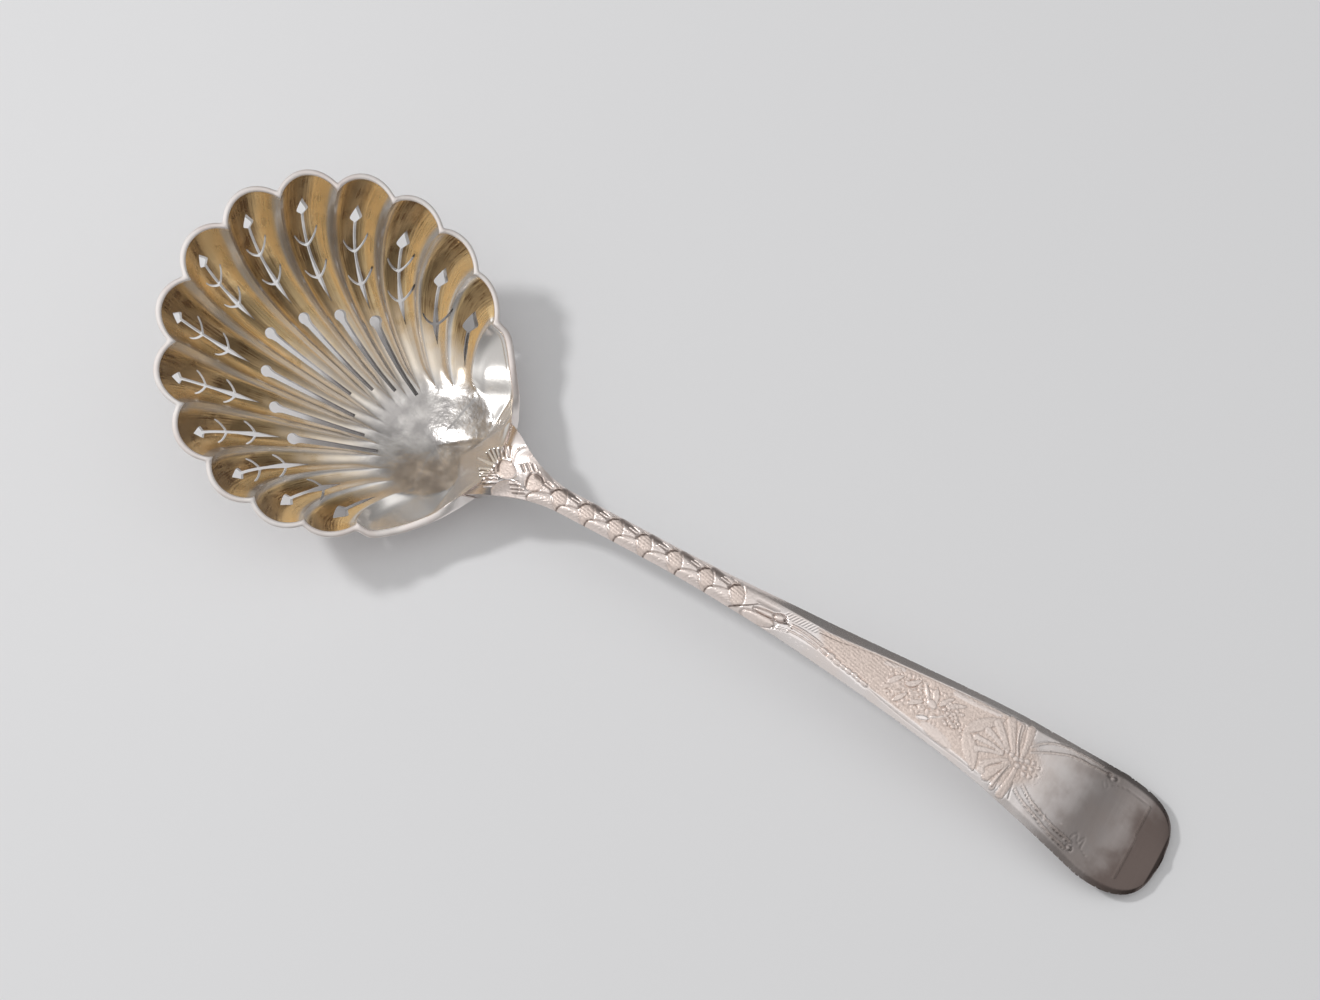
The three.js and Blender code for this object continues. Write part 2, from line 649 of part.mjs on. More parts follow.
// Drop that laps the seam from behind: round under the bowl, narrowing under the stem. It reaches
// a little into the metal, and is then cut back by that metal moved down.
function makeDrop(bowl, stem, resting) {
  const caster = new THREE.Raycaster();
  const seamX = seamPoint(0).applyMatrix4(resting).x;
  const rings = [];
  for (let station = 0; station <= DROP_STATIONS; station += 1) {
    const way = -Math.cos((Math.PI * station) / DROP_STATIONS);
    const ahead = way < 0;
    const x = seamX + way * (ahead ? DROP_AHEAD : DROP_BEHIND);
    const round = Math.sqrt(Math.max(0, 1 - way * way));
    const end = DROP_END_HALF_WIDTH * Math.min(1, DROP_END_ROUND + round);
    const halfWidth = THREE.MathUtils.lerp(end, DROP_HALF_WIDTH, ahead ? round : (1 - way) ** DROP_TAPER);
    const upper = [];
    const lower = [];
    for (let rib = 0; rib <= DROP_RIBS; rib += 1) {
      const across = (2 * rib) / DROP_RIBS - 1;
      const top = undersideHeight(caster, [bowl, stem], x, halfWidth * across);
      const swell = (DROP_THICKNESS - DROP_EDGE) * round * (1 - across * across);
      upper.push(new THREE.Vector3(x, halfWidth * across, top + DROP_GAP / 3));
      lower.unshift(new THREE.Vector3(x, halfWidth * across, top - DROP_GAP - DROP_EDGE - swell));
    }
    rings.push([...upper, ...lower]);
  }
  const slope = seamSlope - tiltAngle;
  let drop = solidOf(loftGeometry(rings));
  for (const [metal, along] of [[bowl, 0], [bowl, SEAM_GAP], [stem, 0]]) {
    const moved = metal.geometry.clone();
    moved.translate(along * Math.cos(slope), 0, along * Math.sin(slope) - DROP_GAP);
    drop = drop.subtract(solidOf(moved));
  }
  return geometryOf(drop);
}

function makeMesh(name, geometry, material) {
  const mesh = new THREE.Mesh(geometry, material);
  mesh.name = name;
  return mesh;
}

const giltSilver = new THREE.MeshStandardMaterial({ color: 0xc9b27a, metalness: 1, roughness: 0.25 });
const wornSilver = new THREE.MeshStandardMaterial({ color: 0xcfc6c0, metalness: 1, roughness: 0.3 });
const backSilver = new THREE.MeshStandardMaterial({ color: 0xc4bcb6, metalness: 1, roughness: 0.35 });

const shell = shellGeometry();
const resting = restingMatrix(shell);
const bowl = makeMesh("bowl", makeBowl(shell, resting), giltSilver);
const stem = makeMesh("stem", makeStem(resting), wornSilver);
const drop = makeMesh("heel_drop", makeDrop(bowl, stem, resting), backSilver);

// The origin is on the table, under the middle of the spoon's box.
const spoon = new THREE.Group();
spoon.add(bowl, stem, drop);
const box = new THREE.Box3().setFromObject(spoon);
spoon.position.set(-(box.min.x + box.max.x) / 2, 0, 0);

export default spoon;
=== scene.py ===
"""A silver sifter spoon with a fluted, pierced shell bowl, lying face up on a pale table.

Lengths are millimetres until a mesh is written, and metres after that. The bowl is shaped in the frame of
its own rim: U runs to the handle, Y across, N out of the mouth.
"""

import logging
import math
from dataclasses import dataclass, field
from enum import Enum
from functools import partialmethod
from typing import Any, Callable, Sequence

import bpy
import numpy as np
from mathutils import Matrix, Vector


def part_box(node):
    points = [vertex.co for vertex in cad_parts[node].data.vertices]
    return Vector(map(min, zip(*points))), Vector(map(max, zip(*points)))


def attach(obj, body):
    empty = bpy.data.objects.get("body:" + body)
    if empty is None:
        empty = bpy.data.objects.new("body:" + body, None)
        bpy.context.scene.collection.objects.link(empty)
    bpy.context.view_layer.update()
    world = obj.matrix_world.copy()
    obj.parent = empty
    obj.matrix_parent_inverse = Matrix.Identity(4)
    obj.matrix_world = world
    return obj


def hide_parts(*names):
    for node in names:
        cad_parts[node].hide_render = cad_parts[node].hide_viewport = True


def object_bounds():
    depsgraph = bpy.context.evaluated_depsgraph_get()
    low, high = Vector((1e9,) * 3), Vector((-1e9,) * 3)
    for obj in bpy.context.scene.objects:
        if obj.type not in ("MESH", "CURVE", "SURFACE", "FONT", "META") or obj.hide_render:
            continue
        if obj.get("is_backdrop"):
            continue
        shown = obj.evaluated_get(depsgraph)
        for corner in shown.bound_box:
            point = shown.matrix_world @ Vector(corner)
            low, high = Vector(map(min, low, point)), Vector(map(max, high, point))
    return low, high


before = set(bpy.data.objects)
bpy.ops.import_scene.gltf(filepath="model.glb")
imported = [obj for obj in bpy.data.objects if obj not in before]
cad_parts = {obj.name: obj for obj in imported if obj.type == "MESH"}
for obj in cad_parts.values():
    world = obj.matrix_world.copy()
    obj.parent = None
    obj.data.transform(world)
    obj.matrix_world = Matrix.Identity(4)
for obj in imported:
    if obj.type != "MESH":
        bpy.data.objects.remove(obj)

MM = 0.001
FLUTE_MAP = "flutes"
MAP_LOBES = 8
log = logging.getLogger("sifter_spoon")

Array = np.ndarray
Piece = bpy.types.Object
Mesh = bpy.types.Mesh
Socket = bpy.types.NodeSocket
Place = Sequence[float]
Places = Sequence[Sequence[float]]
Pair = tuple[float, float]
Triple = tuple[float, float, float]


class Part(Enum):
    """Names of the spoon's pieces, as the frame has them."""

    BOWL = "bowl"
    STEM = "stem"
    DROP = "heel_drop"


class Slot(Enum):
    """The record's finishes."""

    GILT = "parcel_gilt"
    SILVER = "silver"


# Small maths


def clamp(value: Array) -> Array:
    """Values kept between 0 and 1."""
    return np.clip(value, 0, 1)


def dome(size: Array) -> Array:
    """Height of a round dome, by distance from its middle."""
    return np.sqrt(clamp(1 - size**2))


def smoothstep(value: Array | float, low: float, high: float) -> Array:
    """Ease from 0 at low to 1 at high.

    Args:
        value: Where to read the ease.
        low: Value at which it starts.
        high: Value at which it ends.

    Returns:
        The eased share, with the shape of value.
    """
    share = clamp((np.asarray(value, float) - low) / (high - low))
    return share * share * (3 - 2 * share)


def polar(radius: Array, degrees: Array) -> Array:
    """Plan points by radius and by angle from the tip's direction.

    Args:
        radius: Distances from the middle.
        degrees: Angles, positive toward +Y.

    Returns:
        Points, with U and Y as the last axis.
    """
    turn = np.radians(degrees)
    return np.stack([-radius * np.cos(turn), radius * np.sin(turn)], axis=-1)


def unit(vectors: Array) -> Array:
    """Vectors of length 1 along the last axis."""
    return vectors / np.maximum(np.linalg.norm(vectors, axis=-1, keepdims=True), 1e-12)


def left_of(vectors: Array) -> Array:
    """Vectors of the plane, turned a quarter to their left."""
    return np.stack([-vectors[..., 1], vectors[..., 0]], axis=-1)


def bell(value: Array, middle: float, width: float) -> Array:
    """A soft bump that is 1 at its middle, and falls off over its width."""
    return np.exp(-(((value - middle) / width) ** 2))


def bezier(start: Array, bend: Array, end: Array, share: Array) -> Array:
    """Points of a quadratic curve.

    Args:
        start: Where the curve starts.
        bend: The point that pulls it.
        end: Where it ends.
        share: Shares of the way, broadcast against the points.

    Returns:
        The points on the curve.
    """
    rest = 1 - share
    return rest * rest * start + 2 * rest * share * bend + share * share * end


def spline(points: Sequence[Pair], steps: int) -> Array:
    """A smooth line through points.

    Args:
        points: The points to pass through.
        steps: Steps between two neighbours.

    Returns:
        The line's points.
    """
    knots = np.array([points[0], *points, points[-1]], float)
    share = np.linspace(0, 1, steps, endpoint=False)[:, None]
    line = []
    for before, start, end, after in zip(knots, knots[1:], knots[2:], knots[3:]):
        leaving, arriving = (end - before) / 2, (after - start) / 2
        cubic = 2 * start - 2 * end + leaving + arriving
        square = 3 * end - 3 * start - 2 * leaving - arriving
        line.append(cubic * share**3 + square * share**2 + leaving * share + start)
    return np.concatenate([*line, knots[-1:]])


# Modelling


def deselect() -> None:
    """Leave edit mode and select nothing."""
    if bpy.context.object and bpy.context.object.mode != "OBJECT":
        bpy.ops.object.mode_set(mode="OBJECT")
    bpy.ops.object.select_all(action="DESELECT")


def select(piece: Piece) -> None:
    """Select one object alone and make it the active one."""
    deselect()
    piece.select_set(True)
    bpy.context.view_layer.objects.active = piece


def apply_modifier(piece: Piece, kind: str, **settings: Any) -> None:
    """Add a modifier to a piece and apply it.

    Args:
        piece: The mesh to change.
        kind: The modifier's type.
        settings: Values for its properties.
    """
    select(piece)
    modifier = piece.modifiers.new(kind.lower(), kind)
    for name, value in settings.items():
        setattr(modifier, name, value)
    bpy.ops.object.modifier_apply(modifier=modifier.name)


def smooth(piece: Piece, degrees: float) -> None:
    """Shade a piece smooth, with edges sharper than an angle kept.

    Args:
        piece: The mesh to shade.
        degrees: The angle.
    """
    select(piece)
    bpy.ops.object.shade_smooth_by_angle(angle=math.radians(degrees))


def edit_all(operator: Callable[..., Any], **settings: Any) -> None:
    """Run one operator over the whole active mesh in edit mode."""
    bpy.ops.object.mode_set(mode="EDIT")
    bpy.ops.mesh.select_all(action="SELECT")
    operator(**settings)
    bpy.ops.object.mode_set(mode="OBJECT")


def read(items: Any, name: str, width: int = 1, kind: type = np.int32) -> Array:
    """Read one property of many items of a mesh.

    Args:
        items: The items, such as its vertices.
        name: The property.
        width: How many numbers it has.
        kind: What they are.

    Returns:
        The numbers in one row.
    """
    values = np.empty(width * len(items), kind)
    items.foreach_get(name, values)
    return values


def vertex_places(mesh: Mesh) -> Array:
    """Places of a mesh's vertices."""
    return read(mesh.vertices, "co", 3, np.float32).reshape(-1, 3).astype(float)


def move_vertices(mesh: Mesh, places: Array) -> None:
    """Put a mesh's vertices at new places."""
    mesh.vertices.foreach_set("co", places.astype(np.float32).ravel())
    mesh.update()


def new_ball(count: int, around: int) -> tuple[Piece, Array, Array]:
    """Add a unit ball.

    Args:
        count: Rings of it, poles included.
        around: Vertices in a ring.

    Returns:
        The ball, and which ring and which place in it each of its vertices has.
    """
    deselect()
    bpy.ops.mesh.primitive_uv_sphere_add(segments=around, ring_count=count - 1, radius=1)
    ball = bpy.context.object
    points = vertex_places(ball.data)
    fall = np.arctan2(np.hypot(points[:, 0], points[:, 1]), points[:, 2])
    turn = np.arctan2(points[:, 1], points[:, 0])
    ring = np.rint(fall / math.pi * (count - 1)).astype(int)
    column = np.rint(turn / (2 * math.pi) * around).astype(int) % around
    return ball, ring, column


def closed_skin(name: str, rings: Array) -> Piece:
    """A closed skin drawn over rings of points, from a ball with as many rings.

    The ball's rings are laid on the given ones from one pole to the other.

    Args:
        name: The new object's name.
        rings: Points in metres by ring and by place around it. The first and the last ring are one
            point each, repeated.

    Returns:
        The mesh object at the origin, facing out.
    """
    skin, ring, column = new_ball(*rings.shape[:2])
    skin.name = name
    move_vertices(skin.data, rings[ring, column])
    face_out(skin)
    return skin


def ball_rows(count: int, around: int) -> tuple[Array, Array]:
    """Ring and place of each vertex of a skin of this size, in the order that the primitive gives."""
    ball, ring, column = new_ball(count, around)
    bpy.data.objects.remove(ball)
    return ring, column


def with_ends(rings: Array, first: Array, last: Array) -> Array:
    """Rings with one more at either end, each of them one point, repeated."""
    ends = [np.tile(point, (1, rings.shape[1], 1)) for point in (first, last)]
    return np.concatenate([ends[0], rings, ends[1]])


def keep_values(
    skin: Piece, shape: tuple[int, int], covered: tuple[slice, slice], values: dict[str, Array]
) -> None:
    """Keep numbers on the points of a skin's face, for its finish, with 0 on the rest.

    Args:
        skin: The skin as closed_skin makes it.
        shape: How many rings it has, and how many points a ring has.
        covered: The rings, and the places in them, that the face covers.
        values: The numbers at the face's points, by name.
    """
    ring, column = ball_rows(*shape)
    for name, numbers in values.items():
        padded = np.zeros(shape)
        padded[covered] = numbers.reshape(padded[covered].shape)
        layer = skin.data.attributes.new(name, "FLOAT", "POINT")
        layer.data.foreach_set("value", padded[ring, column].astype(np.float32))


def face_out(piece: Piece) -> None:
    """Turn a closed skin's faces round if they point inwards."""
    mesh = piece.data
    mesh.calc_loop_triangles()
    triangles = vertex_places(mesh)[read(mesh.loop_triangles, "vertices", 3).reshape(-1, 3)]
    volume = np.einsum("ij,ij->", triangles[:, 0], np.cross(triangles[:, 1], triangles[:, 2]))
    if volume < 0:
        select(piece)
        edit_all(bpy.ops.mesh.flip_normals)


def prism(name: str, outline: Array, low: float, high: float) -> Piece:
    """A straight cutter over a plan outline.

    Args:
        name: The new object's name.
        outline: The outline's points, in order.
        low: Where the cutter starts along N.
        high: Where it ends.

    Returns:
        The closed mesh object, in the outline's own frame and unit.
    """
    deselect()
    bpy.ops.mesh.primitive_circle_add(vertices=len(outline), fill_type="NGON")
    cutter = bpy.context.object
    cutter.name = name
    move_vertices(cutter.data, np.column_stack([outline, np.full(len(outline), low)]))
    edit_all(bpy.ops.mesh.extrude_region_move, TRANSFORM_OT_translate={"value": (0, 0, high - low)})
    face_out(cutter)
    return cutter


def ribbon(centres: Array, half_widths: Array) -> Array:
    """Outline of a stroke in the plane.

    Args:
        centres: The stroke's middle line.
        half_widths: Its half width at each point.

    Returns:
        The outline's points.
    """
    along = unit(np.gradient(centres, axis=0))
    across = left_of(along) * half_widths[:, None]
    left = centres + across
    right = (centres - across)[half_widths > 0]
    return np.concatenate([left, right[::-1]])


# The bowl


@dataclass
class Lines:
    """Lines of the bowl from the hub to the rim, one entry of each array for a line."""

    place: Array
    crest: Array
    bulge: Array
    thickening: Array
    neck: Array
    lift: Array
    hub: Array
    turn: Array
    edge: Array


@dataclass
class Bowl:
    """The fluted, pierced shell bowl."""

    rim_radius: float = 27.5
    depth: float = 14.2
    steepness: float = 3.0
    wall: float = 0.95
    tilt: float = 28.0
    worn: float = 0.15
    lobes: int = 13
    middle_angle: float = 22.4
    narrowing: float = 0.37
    swell: float = 2.45
    swell_loss: float = 0.04
    roundness: float = 0.68
    ridge_softness: float = 0.07
    flute_start: float = 0.2
    nose: float = 0.14
    lip_share: float = 0.78
    lip_rounding: float = 0.22
    ridge_thickening: float = 1.6
    turn_radius: float = 17.6
    turn_growth: float = 0.18
    hub_offset: float = 22.5
    hub_radius: float = 7.4
    hub_spread: float = 2.2
    hub_neck_radius: float = 4.0
    hub_fan: float = 14.0
    hub_corner: float = 150.0
    shoulder_swell: float = 1.25
    ridge_fall: float = 3.2
    neck_rise: float = 22.0
    neck_half_width: float = 7.5
    neck_reach: float = 31.1
    neck_lift: float = 2.35
    neck_trough: float = 2.3
    neck_thickness: float = 2.1
    bead: float = 0.28
    bead_growth: float = 0.12
    bead_start: Pair = (0.9, 0.94)
    relief: Pair = (-0.25, 0.3)
    crease_angle: float = 40.0
    cut_reach: Pair = (-1.5, 0.5)
    slope_step: float = 0.05
    least_sine: float = 0.03
    seam_rounds: int = 6
    shoulder_ease: float = 0.6
    shoulder_spacing: float = 1.3
    lobe_steps: int = 24
    shoulder_steps: int = 20
    neck_steps: int = 96
    hub_rows: int = 10
    flute_rows: int = 84
    lip_rows: int = 4
    shift: Array = field(default_factory=lambda: np.zeros(3))

    def __post_init__(self) -> None:
        """Work out the sizes that follow from the others, and where the bowl rests."""
        self.seam_slope = math.atan(self.steepness * (self.depth + self.neck_lift) / self.neck_reach)
        self.square = np.array([-math.sin(self.seam_slope), 0, math.cos(self.seam_slope)])
        self.last_angle = float(self.lobe_angle(np.array(self.lobes / 2)))
        corner = self.seam_point(np.array(1.0))
        self.corner_angle = 180 - math.degrees(math.atan2(corner[1], corner[0]))
        self.corner_lift = float(corner[2])
        corner_radius = math.hypot(corner[0], corner[1])
        self.shoulder_growth = corner_radius - self.rim_radius - self.shoulder_swell
        lowest = self.to_table(self.skins()[1].reshape(-1, 3)).min(0)
        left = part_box(Part.BOWL.value)[0].x / MM
        self.shift = np.array([left - lowest[0], 0, -self.worn - lowest[2]])

    def to_table(self, points: Array) -> Array:
        """Move points from the rim's frame to the table's.

        Args:
            points: Points in the rim's frame.

        Returns:
            The same points as the spoon lies on the table.
        """
        cosine, sine = math.cos(math.radians(self.tilt)), math.sin(math.radians(self.tilt))
        along = points[..., 0] * cosine + points[..., 2] * sine
        height = points[..., 2] * cosine - points[..., 0] * sine
        return np.stack([along, points[..., 1], height], axis=-1) + self.shift

    def lobe_angle(self, place: Array) -> Array:
        """Degrees of rim from the tip, at places counted in lobes from the middle one."""
        size = np.abs(place)
        return np.sign(place) * (self.middle_angle * size - self.narrowing * size * size)

    def seam_point(self, across: Array) -> Array:
        """Points of the seam's back edge, by share of its half width."""
        rise = (self.neck_trough * across * across)[..., None] * self.square
        flat = [np.full_like(across, self.neck_reach), self.neck_half_width * across]
        return np.stack([*flat, np.full_like(across, self.neck_lift)], axis=-1) + rise

    def seam_face(self) -> Array:
        """The middle of the seam's upper edge, on the table."""
        return self.to_table(self.seam_point(np.array(0.0)) + self.square * self.neck_thickness)

    def seam_share(self, angle: Array) -> Array:
        """Share of the seam's half width in the direction of rim angles beyond the corner."""
        slope = np.tan(np.radians(180 - np.abs(angle)))
        share = np.ones_like(slope)
        for _ in range(self.seam_rounds):
            share = clamp(self.seam_point(share)[..., 0] * slope / self.neck_half_width)
        return share

    def neck_share(self, angle: Array) -> Array:
        """How far rim angles are into the neck: 0 on the shoulder, 1 at the seam."""
        return smoothstep(np.abs(angle), self.corner_angle - self.neck_rise / 2, self.corner_angle)

    def rim(self, angle: Array) -> tuple[Array, Array]:
        """The plain rim, without bulges.

        Args:
            angle: Rim angles in degrees.

        Returns:
            The rim's distance from its middle, and its height.
        """
        size = np.abs(angle)
        share = np.clip((size - self.last_angle) / (self.corner_angle - self.last_angle), 0, None)
        plain = self.rim_radius + self.shoulder_growth * share + self.shoulder_swell * self.neck_share(size)
        seam = self.seam_point(self.seam_share(size))
        beyond = size >= self.corner_angle
        distance = np.where(beyond, np.hypot(seam[..., 0], seam[..., 1]), plain)
        rise = smoothstep(size, self.corner_angle - self.neck_rise, self.corner_angle)
        return distance, np.where(beyond, seam[..., 2], self.corner_lift * rise)

    def back_height(self, plan: Array) -> Array:
        """Height of the plain back, without flutes, at plan points."""
        angle = np.degrees(np.arctan2(np.abs(plan[..., 1]), -plan[..., 0]))
        distance, height = self.rim(angle)
        share = (np.hypot(plan[..., 0], plan[..., 1]) / distance) ** self.steepness
        return height * share - self.depth * (1 - share)

    def back_normal(self, plan: Array) -> Array:
        """Upward normals of the plain back at plan points."""
        step = self.slope_step
        slopes = []
        for offset in (np.array([step, 0]), np.array([0, step])):
            slopes.append((self.back_height(plan + offset) - self.back_height(plan - offset)) / (2 * step))
        return unit(np.stack([-slopes[0], -slopes[1], np.ones_like(slopes[0])], axis=-1))

    def hub_point(self, angle: Array) -> Array:
        """Points of the hub's edge by degrees about the hub."""
        last = self.hub_fan * self.lobes / 2
        size = np.abs(angle)
        fan = self.hub_radius + self.hub_spread * (size / last) ** 2
        ease = smoothstep(size, last, 180)
        wide = self.hub_radius + self.hub_spread
        radius = np.where(size > last, wide + (self.hub_neck_radius - wide) * ease, fan)
        return polar(radius, angle) + np.array([self.hub_offset, 0])

    def flute_lines(self, place: Array) -> Lines:
        """Lines inside the flutes, by place counted in lobes from the middle one."""
        angle = self.lobe_angle(place)
        phase = math.pi * (place + self.lobes / 2)
        soft = self.ridge_softness
        wave = (np.sin(phase) ** 2 + soft**2) ** (self.roundness / 2) - soft**self.roundness
        wave = wave / ((1 + soft**2) ** (self.roundness / 2) - soft**self.roundness)
        swell = self.swell - self.swell_loss * place * place
        width = self.rim_radius * math.radians(self.middle_angle)
        sine = np.maximum(np.abs(np.sin(phase)), self.least_sine)
        slope = self.roundness * math.pi * np.abs(np.cos(phase)) * sine ** (self.roundness - 1)
        distance, height = self.rim(angle)
        return Lines(
            place=np.abs(place),
            crest=1 - wave,
            bulge=swell,
            thickening=np.minimum(self.ridge_thickening, np.hypot(1, swell / width * slope)),
            neck=np.zeros_like(place),
            lift=height,
            hub=self.hub_point(self.hub_fan * place),
            turn=polar(self.turn_radius + self.turn_growth * place * place, angle),
            edge=polar(distance, angle),
        )

    def shoulder_lines(self, share: Array, side: int) -> Lines:
        """Lines on a shoulder, from the last ridge (0) to the seam's corner (1)."""
        last = self.lobes / 2
        angle = self.last_angle + (self.corner_angle - self.last_angle) * share
        crest = bell(angle, self.last_angle, self.ridge_fall)
        hub_angle = self.hub_fan * last + (self.hub_corner - self.hub_fan * last) * share
        distance, height = self.rim(angle)
        hub, edge = self.hub_point(side * hub_angle), polar(distance, side * angle)
        bent = polar(self.turn_radius + self.turn_growth * last * last + 0 * angle, side * angle)
        ease = smoothstep(share, 0, self.shoulder_ease)[:, None]
        neck = self.neck_share(angle)
        return Lines(
            place=last + share,
            crest=crest,
            bulge=self.shoulder_swell * (1 - neck),
            thickening=1 + (self.ridge_thickening - 1) * crest,
            neck=neck,
            lift=height,
            hub=hub,
            turn=bent * (1 - ease) + (hub + edge) / 2 * ease,
            edge=edge,
        )

    def neck_lines(self, across: Array) -> Lines:
        """Lines that end on the seam, by share of its half width."""
        seam = self.seam_point(across)
        side = np.where(across < 0, -1, 1)
        hub = self.hub_point(side * (180 + (self.hub_corner - 180) * np.abs(across)))
        none = np.zeros_like(across)
        return Lines(
            place=none + self.lobes / 2 + 1,
            crest=none,
            bulge=none,
            thickening=none + 1,
            neck=none + 1,
            lift=seam[..., 2],
            hub=hub,
            turn=(hub + seam[..., :2]) / 2,
            edge=seam[..., :2],
        )

    def lines(self) -> Lines:
        """Every line once round, from one last ridge over the tip to the other and by the neck."""
        last = self.lobes / 2
        shares = (np.arange(1, self.shoulder_steps) / self.shoulder_steps) ** self.shoulder_spacing
        groups = [
            self.flute_lines(np.linspace(-last, last, self.lobes * self.lobe_steps + 1)),
            self.shoulder_lines(shares, 1),
            self.neck_lines(np.linspace(1, -1, self.neck_steps + 1)),
            self.shoulder_lines(shares[::-1], -1),
        ]
        names = Lines.__dataclass_fields__
        return Lines(**{name: np.concatenate([getattr(g, name) for g in groups]) for name in names})

    def plan(self, lines: Lines, share: float) -> Array:
        """Plan points of lines at one share of the way. Below 0 is inside the hub, down to -1."""
        if share < 0:
            middle = np.array([self.hub_offset, 0])
            return middle + (lines.hub - middle) * (1 + share)
        return bezier(lines.hub, lines.turn, lines.edge, share)

    def wall_points(self, lines: Lines, share: float) -> tuple[Array, Array]:
        """Face and back of the metal at one share of every line.

        Args:
            lines: The lines.
            share: Share of the way from the hub to the rim.

        Returns:
            Points of the face and of the back, in the rim's frame.
        """
        plan = self.plan(lines, share)
        neck = lines.neck[:, None]
        radial = unit(np.column_stack([plan, np.zeros(len(plan))]))
        lip_way = radial * (1 - neck) - self.square * neck
        lip = float(smoothstep(share, self.lip_share, 1))
        way = unit(-self.back_normal(plan) * (1 - lip) + lip_way * lip)
        along = max(share, 0)
        full = lines.bulge * (self.flute_start + (1 - self.flute_start) * along)
        inward = max(-share, 0)
        sink = full * (1 - inward) + self.swell * self.flute_start * inward
        nose = float(smoothstep(share, 0, self.nose))
        deep = sink * (1 - lines.crest * nose)
        plain = self.wall + (self.neck_thickness - self.wall) * lines.neck * along
        last = self.lobes / 2
        shoulder = smoothstep(lines.place, last, last + self.bead_growth) * (1 - lines.neck)
        bead = self.bead * shoulder * float(smoothstep(share, *self.bead_start))
        thickness = plain * (1 + (lines.thickening - 1) * nose) + bead
        height = lines.lift if share == 1 else self.back_height(plan)
        back = np.column_stack([plan, height]) + way * deep[:, None]
        return back - way * thickness[:, None], back

    def shares(self) -> Array:
        """Shares of the way at which the skins have a row, without the hub's middle."""
        inner = np.linspace(-1, 0, self.hub_rows + 1)[1:-1]
        return np.concatenate([inner, np.linspace(0, 1, self.flute_rows + 1)])

    def skins(self) -> tuple[Array, Array]:
        """Face and back by row and by line, with the hub's middle as the first row."""
        lines = self.lines()
        rows = [self.wall_points(lines, share) for share in (-1.0, *self.shares())]
        return np.stack([row[0] for row in rows]), np.stack([row[1] for row in rows])

    def lip(self, face: Array, back: Array, neck: Array) -> Array:
        """Rows that round the lip from the face over to the back.

        Args:
            face: The face's last row.
            back: The back's last row.
            neck: Share of the neck by line, where the lip stays square.

        Returns:
            The rows between them.
        """
        middle, reach = (face + back) / 2, (face - back) / 2
        rise = np.linalg.norm(reach, axis=-1) * 2 * self.lip_rounding * (1 - neck)
        rows = []
        for turn in np.linspace(0, math.pi, self.lip_rows + 2)[1:-1]:
            bulge = np.zeros_like(middle)
            bulge[:, 2] = rise * math.sin(turn)
            squared = np.sign(math.cos(turn)) * abs(math.cos(turn)) ** 0.5
            rows.append(middle + reach * squared + bulge)
        return np.stack(rows)

    def build(self) -> Piece:
        """Shape the skin, cut it and rest it on the table."""
        lines = self.lines()
        face, back = self.skins()
        marks = self.engrave(face, back)
        rows = np.concatenate([face, self.lip(face[-1], back[-1], lines.neck), back[::-2]])
        table = self.to_table(rows)
        table[..., 2] = np.maximum(table[..., 2], 0)
        bowl = closed_skin("shell_bowl", table * MM)
        covered = (slice(0, len(face)), slice(None))
        keep_values(bowl, rows.shape[:2], covered, {"engraving": marks.cut, "matting": marks.matting})
        self.mark_lines(bowl, lines, len(rows))
        self.pierce(bowl)
        return bowl

    def engrave(self, face: Array, back: Array) -> "Engraving":
        """Cut the ornament's part on the neck into the face.

        Args:
            face: The face's points, which are moved.
            back: The back's points.

        Returns:
            The marks, at the face's points.
        """
        slope = self.seam_slope - math.radians(self.tilt)
        beyond = self.to_table(face)[..., 0] - self.seam_face()[0]
        marks = Engraving(beyond / math.cos(slope), face[..., 1])
        Ornament().neck_fan(marks)
        height = np.clip(marks.height, *self.relief).reshape(face.shape[:2])
        face += unit(face - back) * height[..., None]
        return marks

    def mark_lines(self, bowl: Piece, lines: Lines, count: int) -> None:
        """Give the bowl's map the place in lobes and the share of the way, and its two finishes.

        Args:
            bowl: The skin before it is cut.
            lines: Its lines.
            count: Its rows.
        """
        face_rows = self.hub_rows + self.flute_rows + 1
        shares = np.concatenate([[-1.0], self.shares()])
        by_row = np.concatenate([shares, np.ones(self.lip_rows), shares[::-2]])
        ring, column = ball_rows(count, len(lines.place))
        corners = read(bowl.data.loops, "vertex_index")
        flat = np.column_stack([lines.place[column] / MAP_LOBES, (by_row[ring] + 1) / 2])[corners]
        bowl.data.uv_layers.active.data.foreach_set("uv", flat.astype(np.float32).ravel())
        bowl.data.uv_layers.active.name = FLUTE_MAP
        starts = read(bowl.data.polygons, "loop_start")
        rows = np.stack([ring[corners[starts]], ring[corners[starts + 1]], ring[corners[starts + 2]]])
        slot = np.where(rows.max(0) < face_rows, 0, 1).astype(np.int32)
        bowl.data.materials.append(GiltSilver().build())
        bowl.data.materials.append(PlainSilver("rim_and_back").build())
        bowl.data.polygons.foreach_set("material_index", slot)

    def pierce(self, bowl: Piece) -> None:
        """Cut every slot and sprig through the bowl."""
        low, high = (reach * self.depth for reach in self.cut_reach)
        for outlines in Piercing(self).batches():
            cutters = [prism("cutter", outline, low, high) for outline in outlines]
            select(cutters[0])
            for cutter in cutters:
                cutter.select_set(True)
            bpy.ops.object.join()
            cutter = cutters[0]
            move_vertices(cutter.data, self.to_table(vertex_places(cutter.data)) * MM)
            apply_modifier(bowl, "BOOLEAN", object=cutter, operation="DIFFERENCE", solver="MANIFOLD")
            bpy.data.objects.remove(cutter)


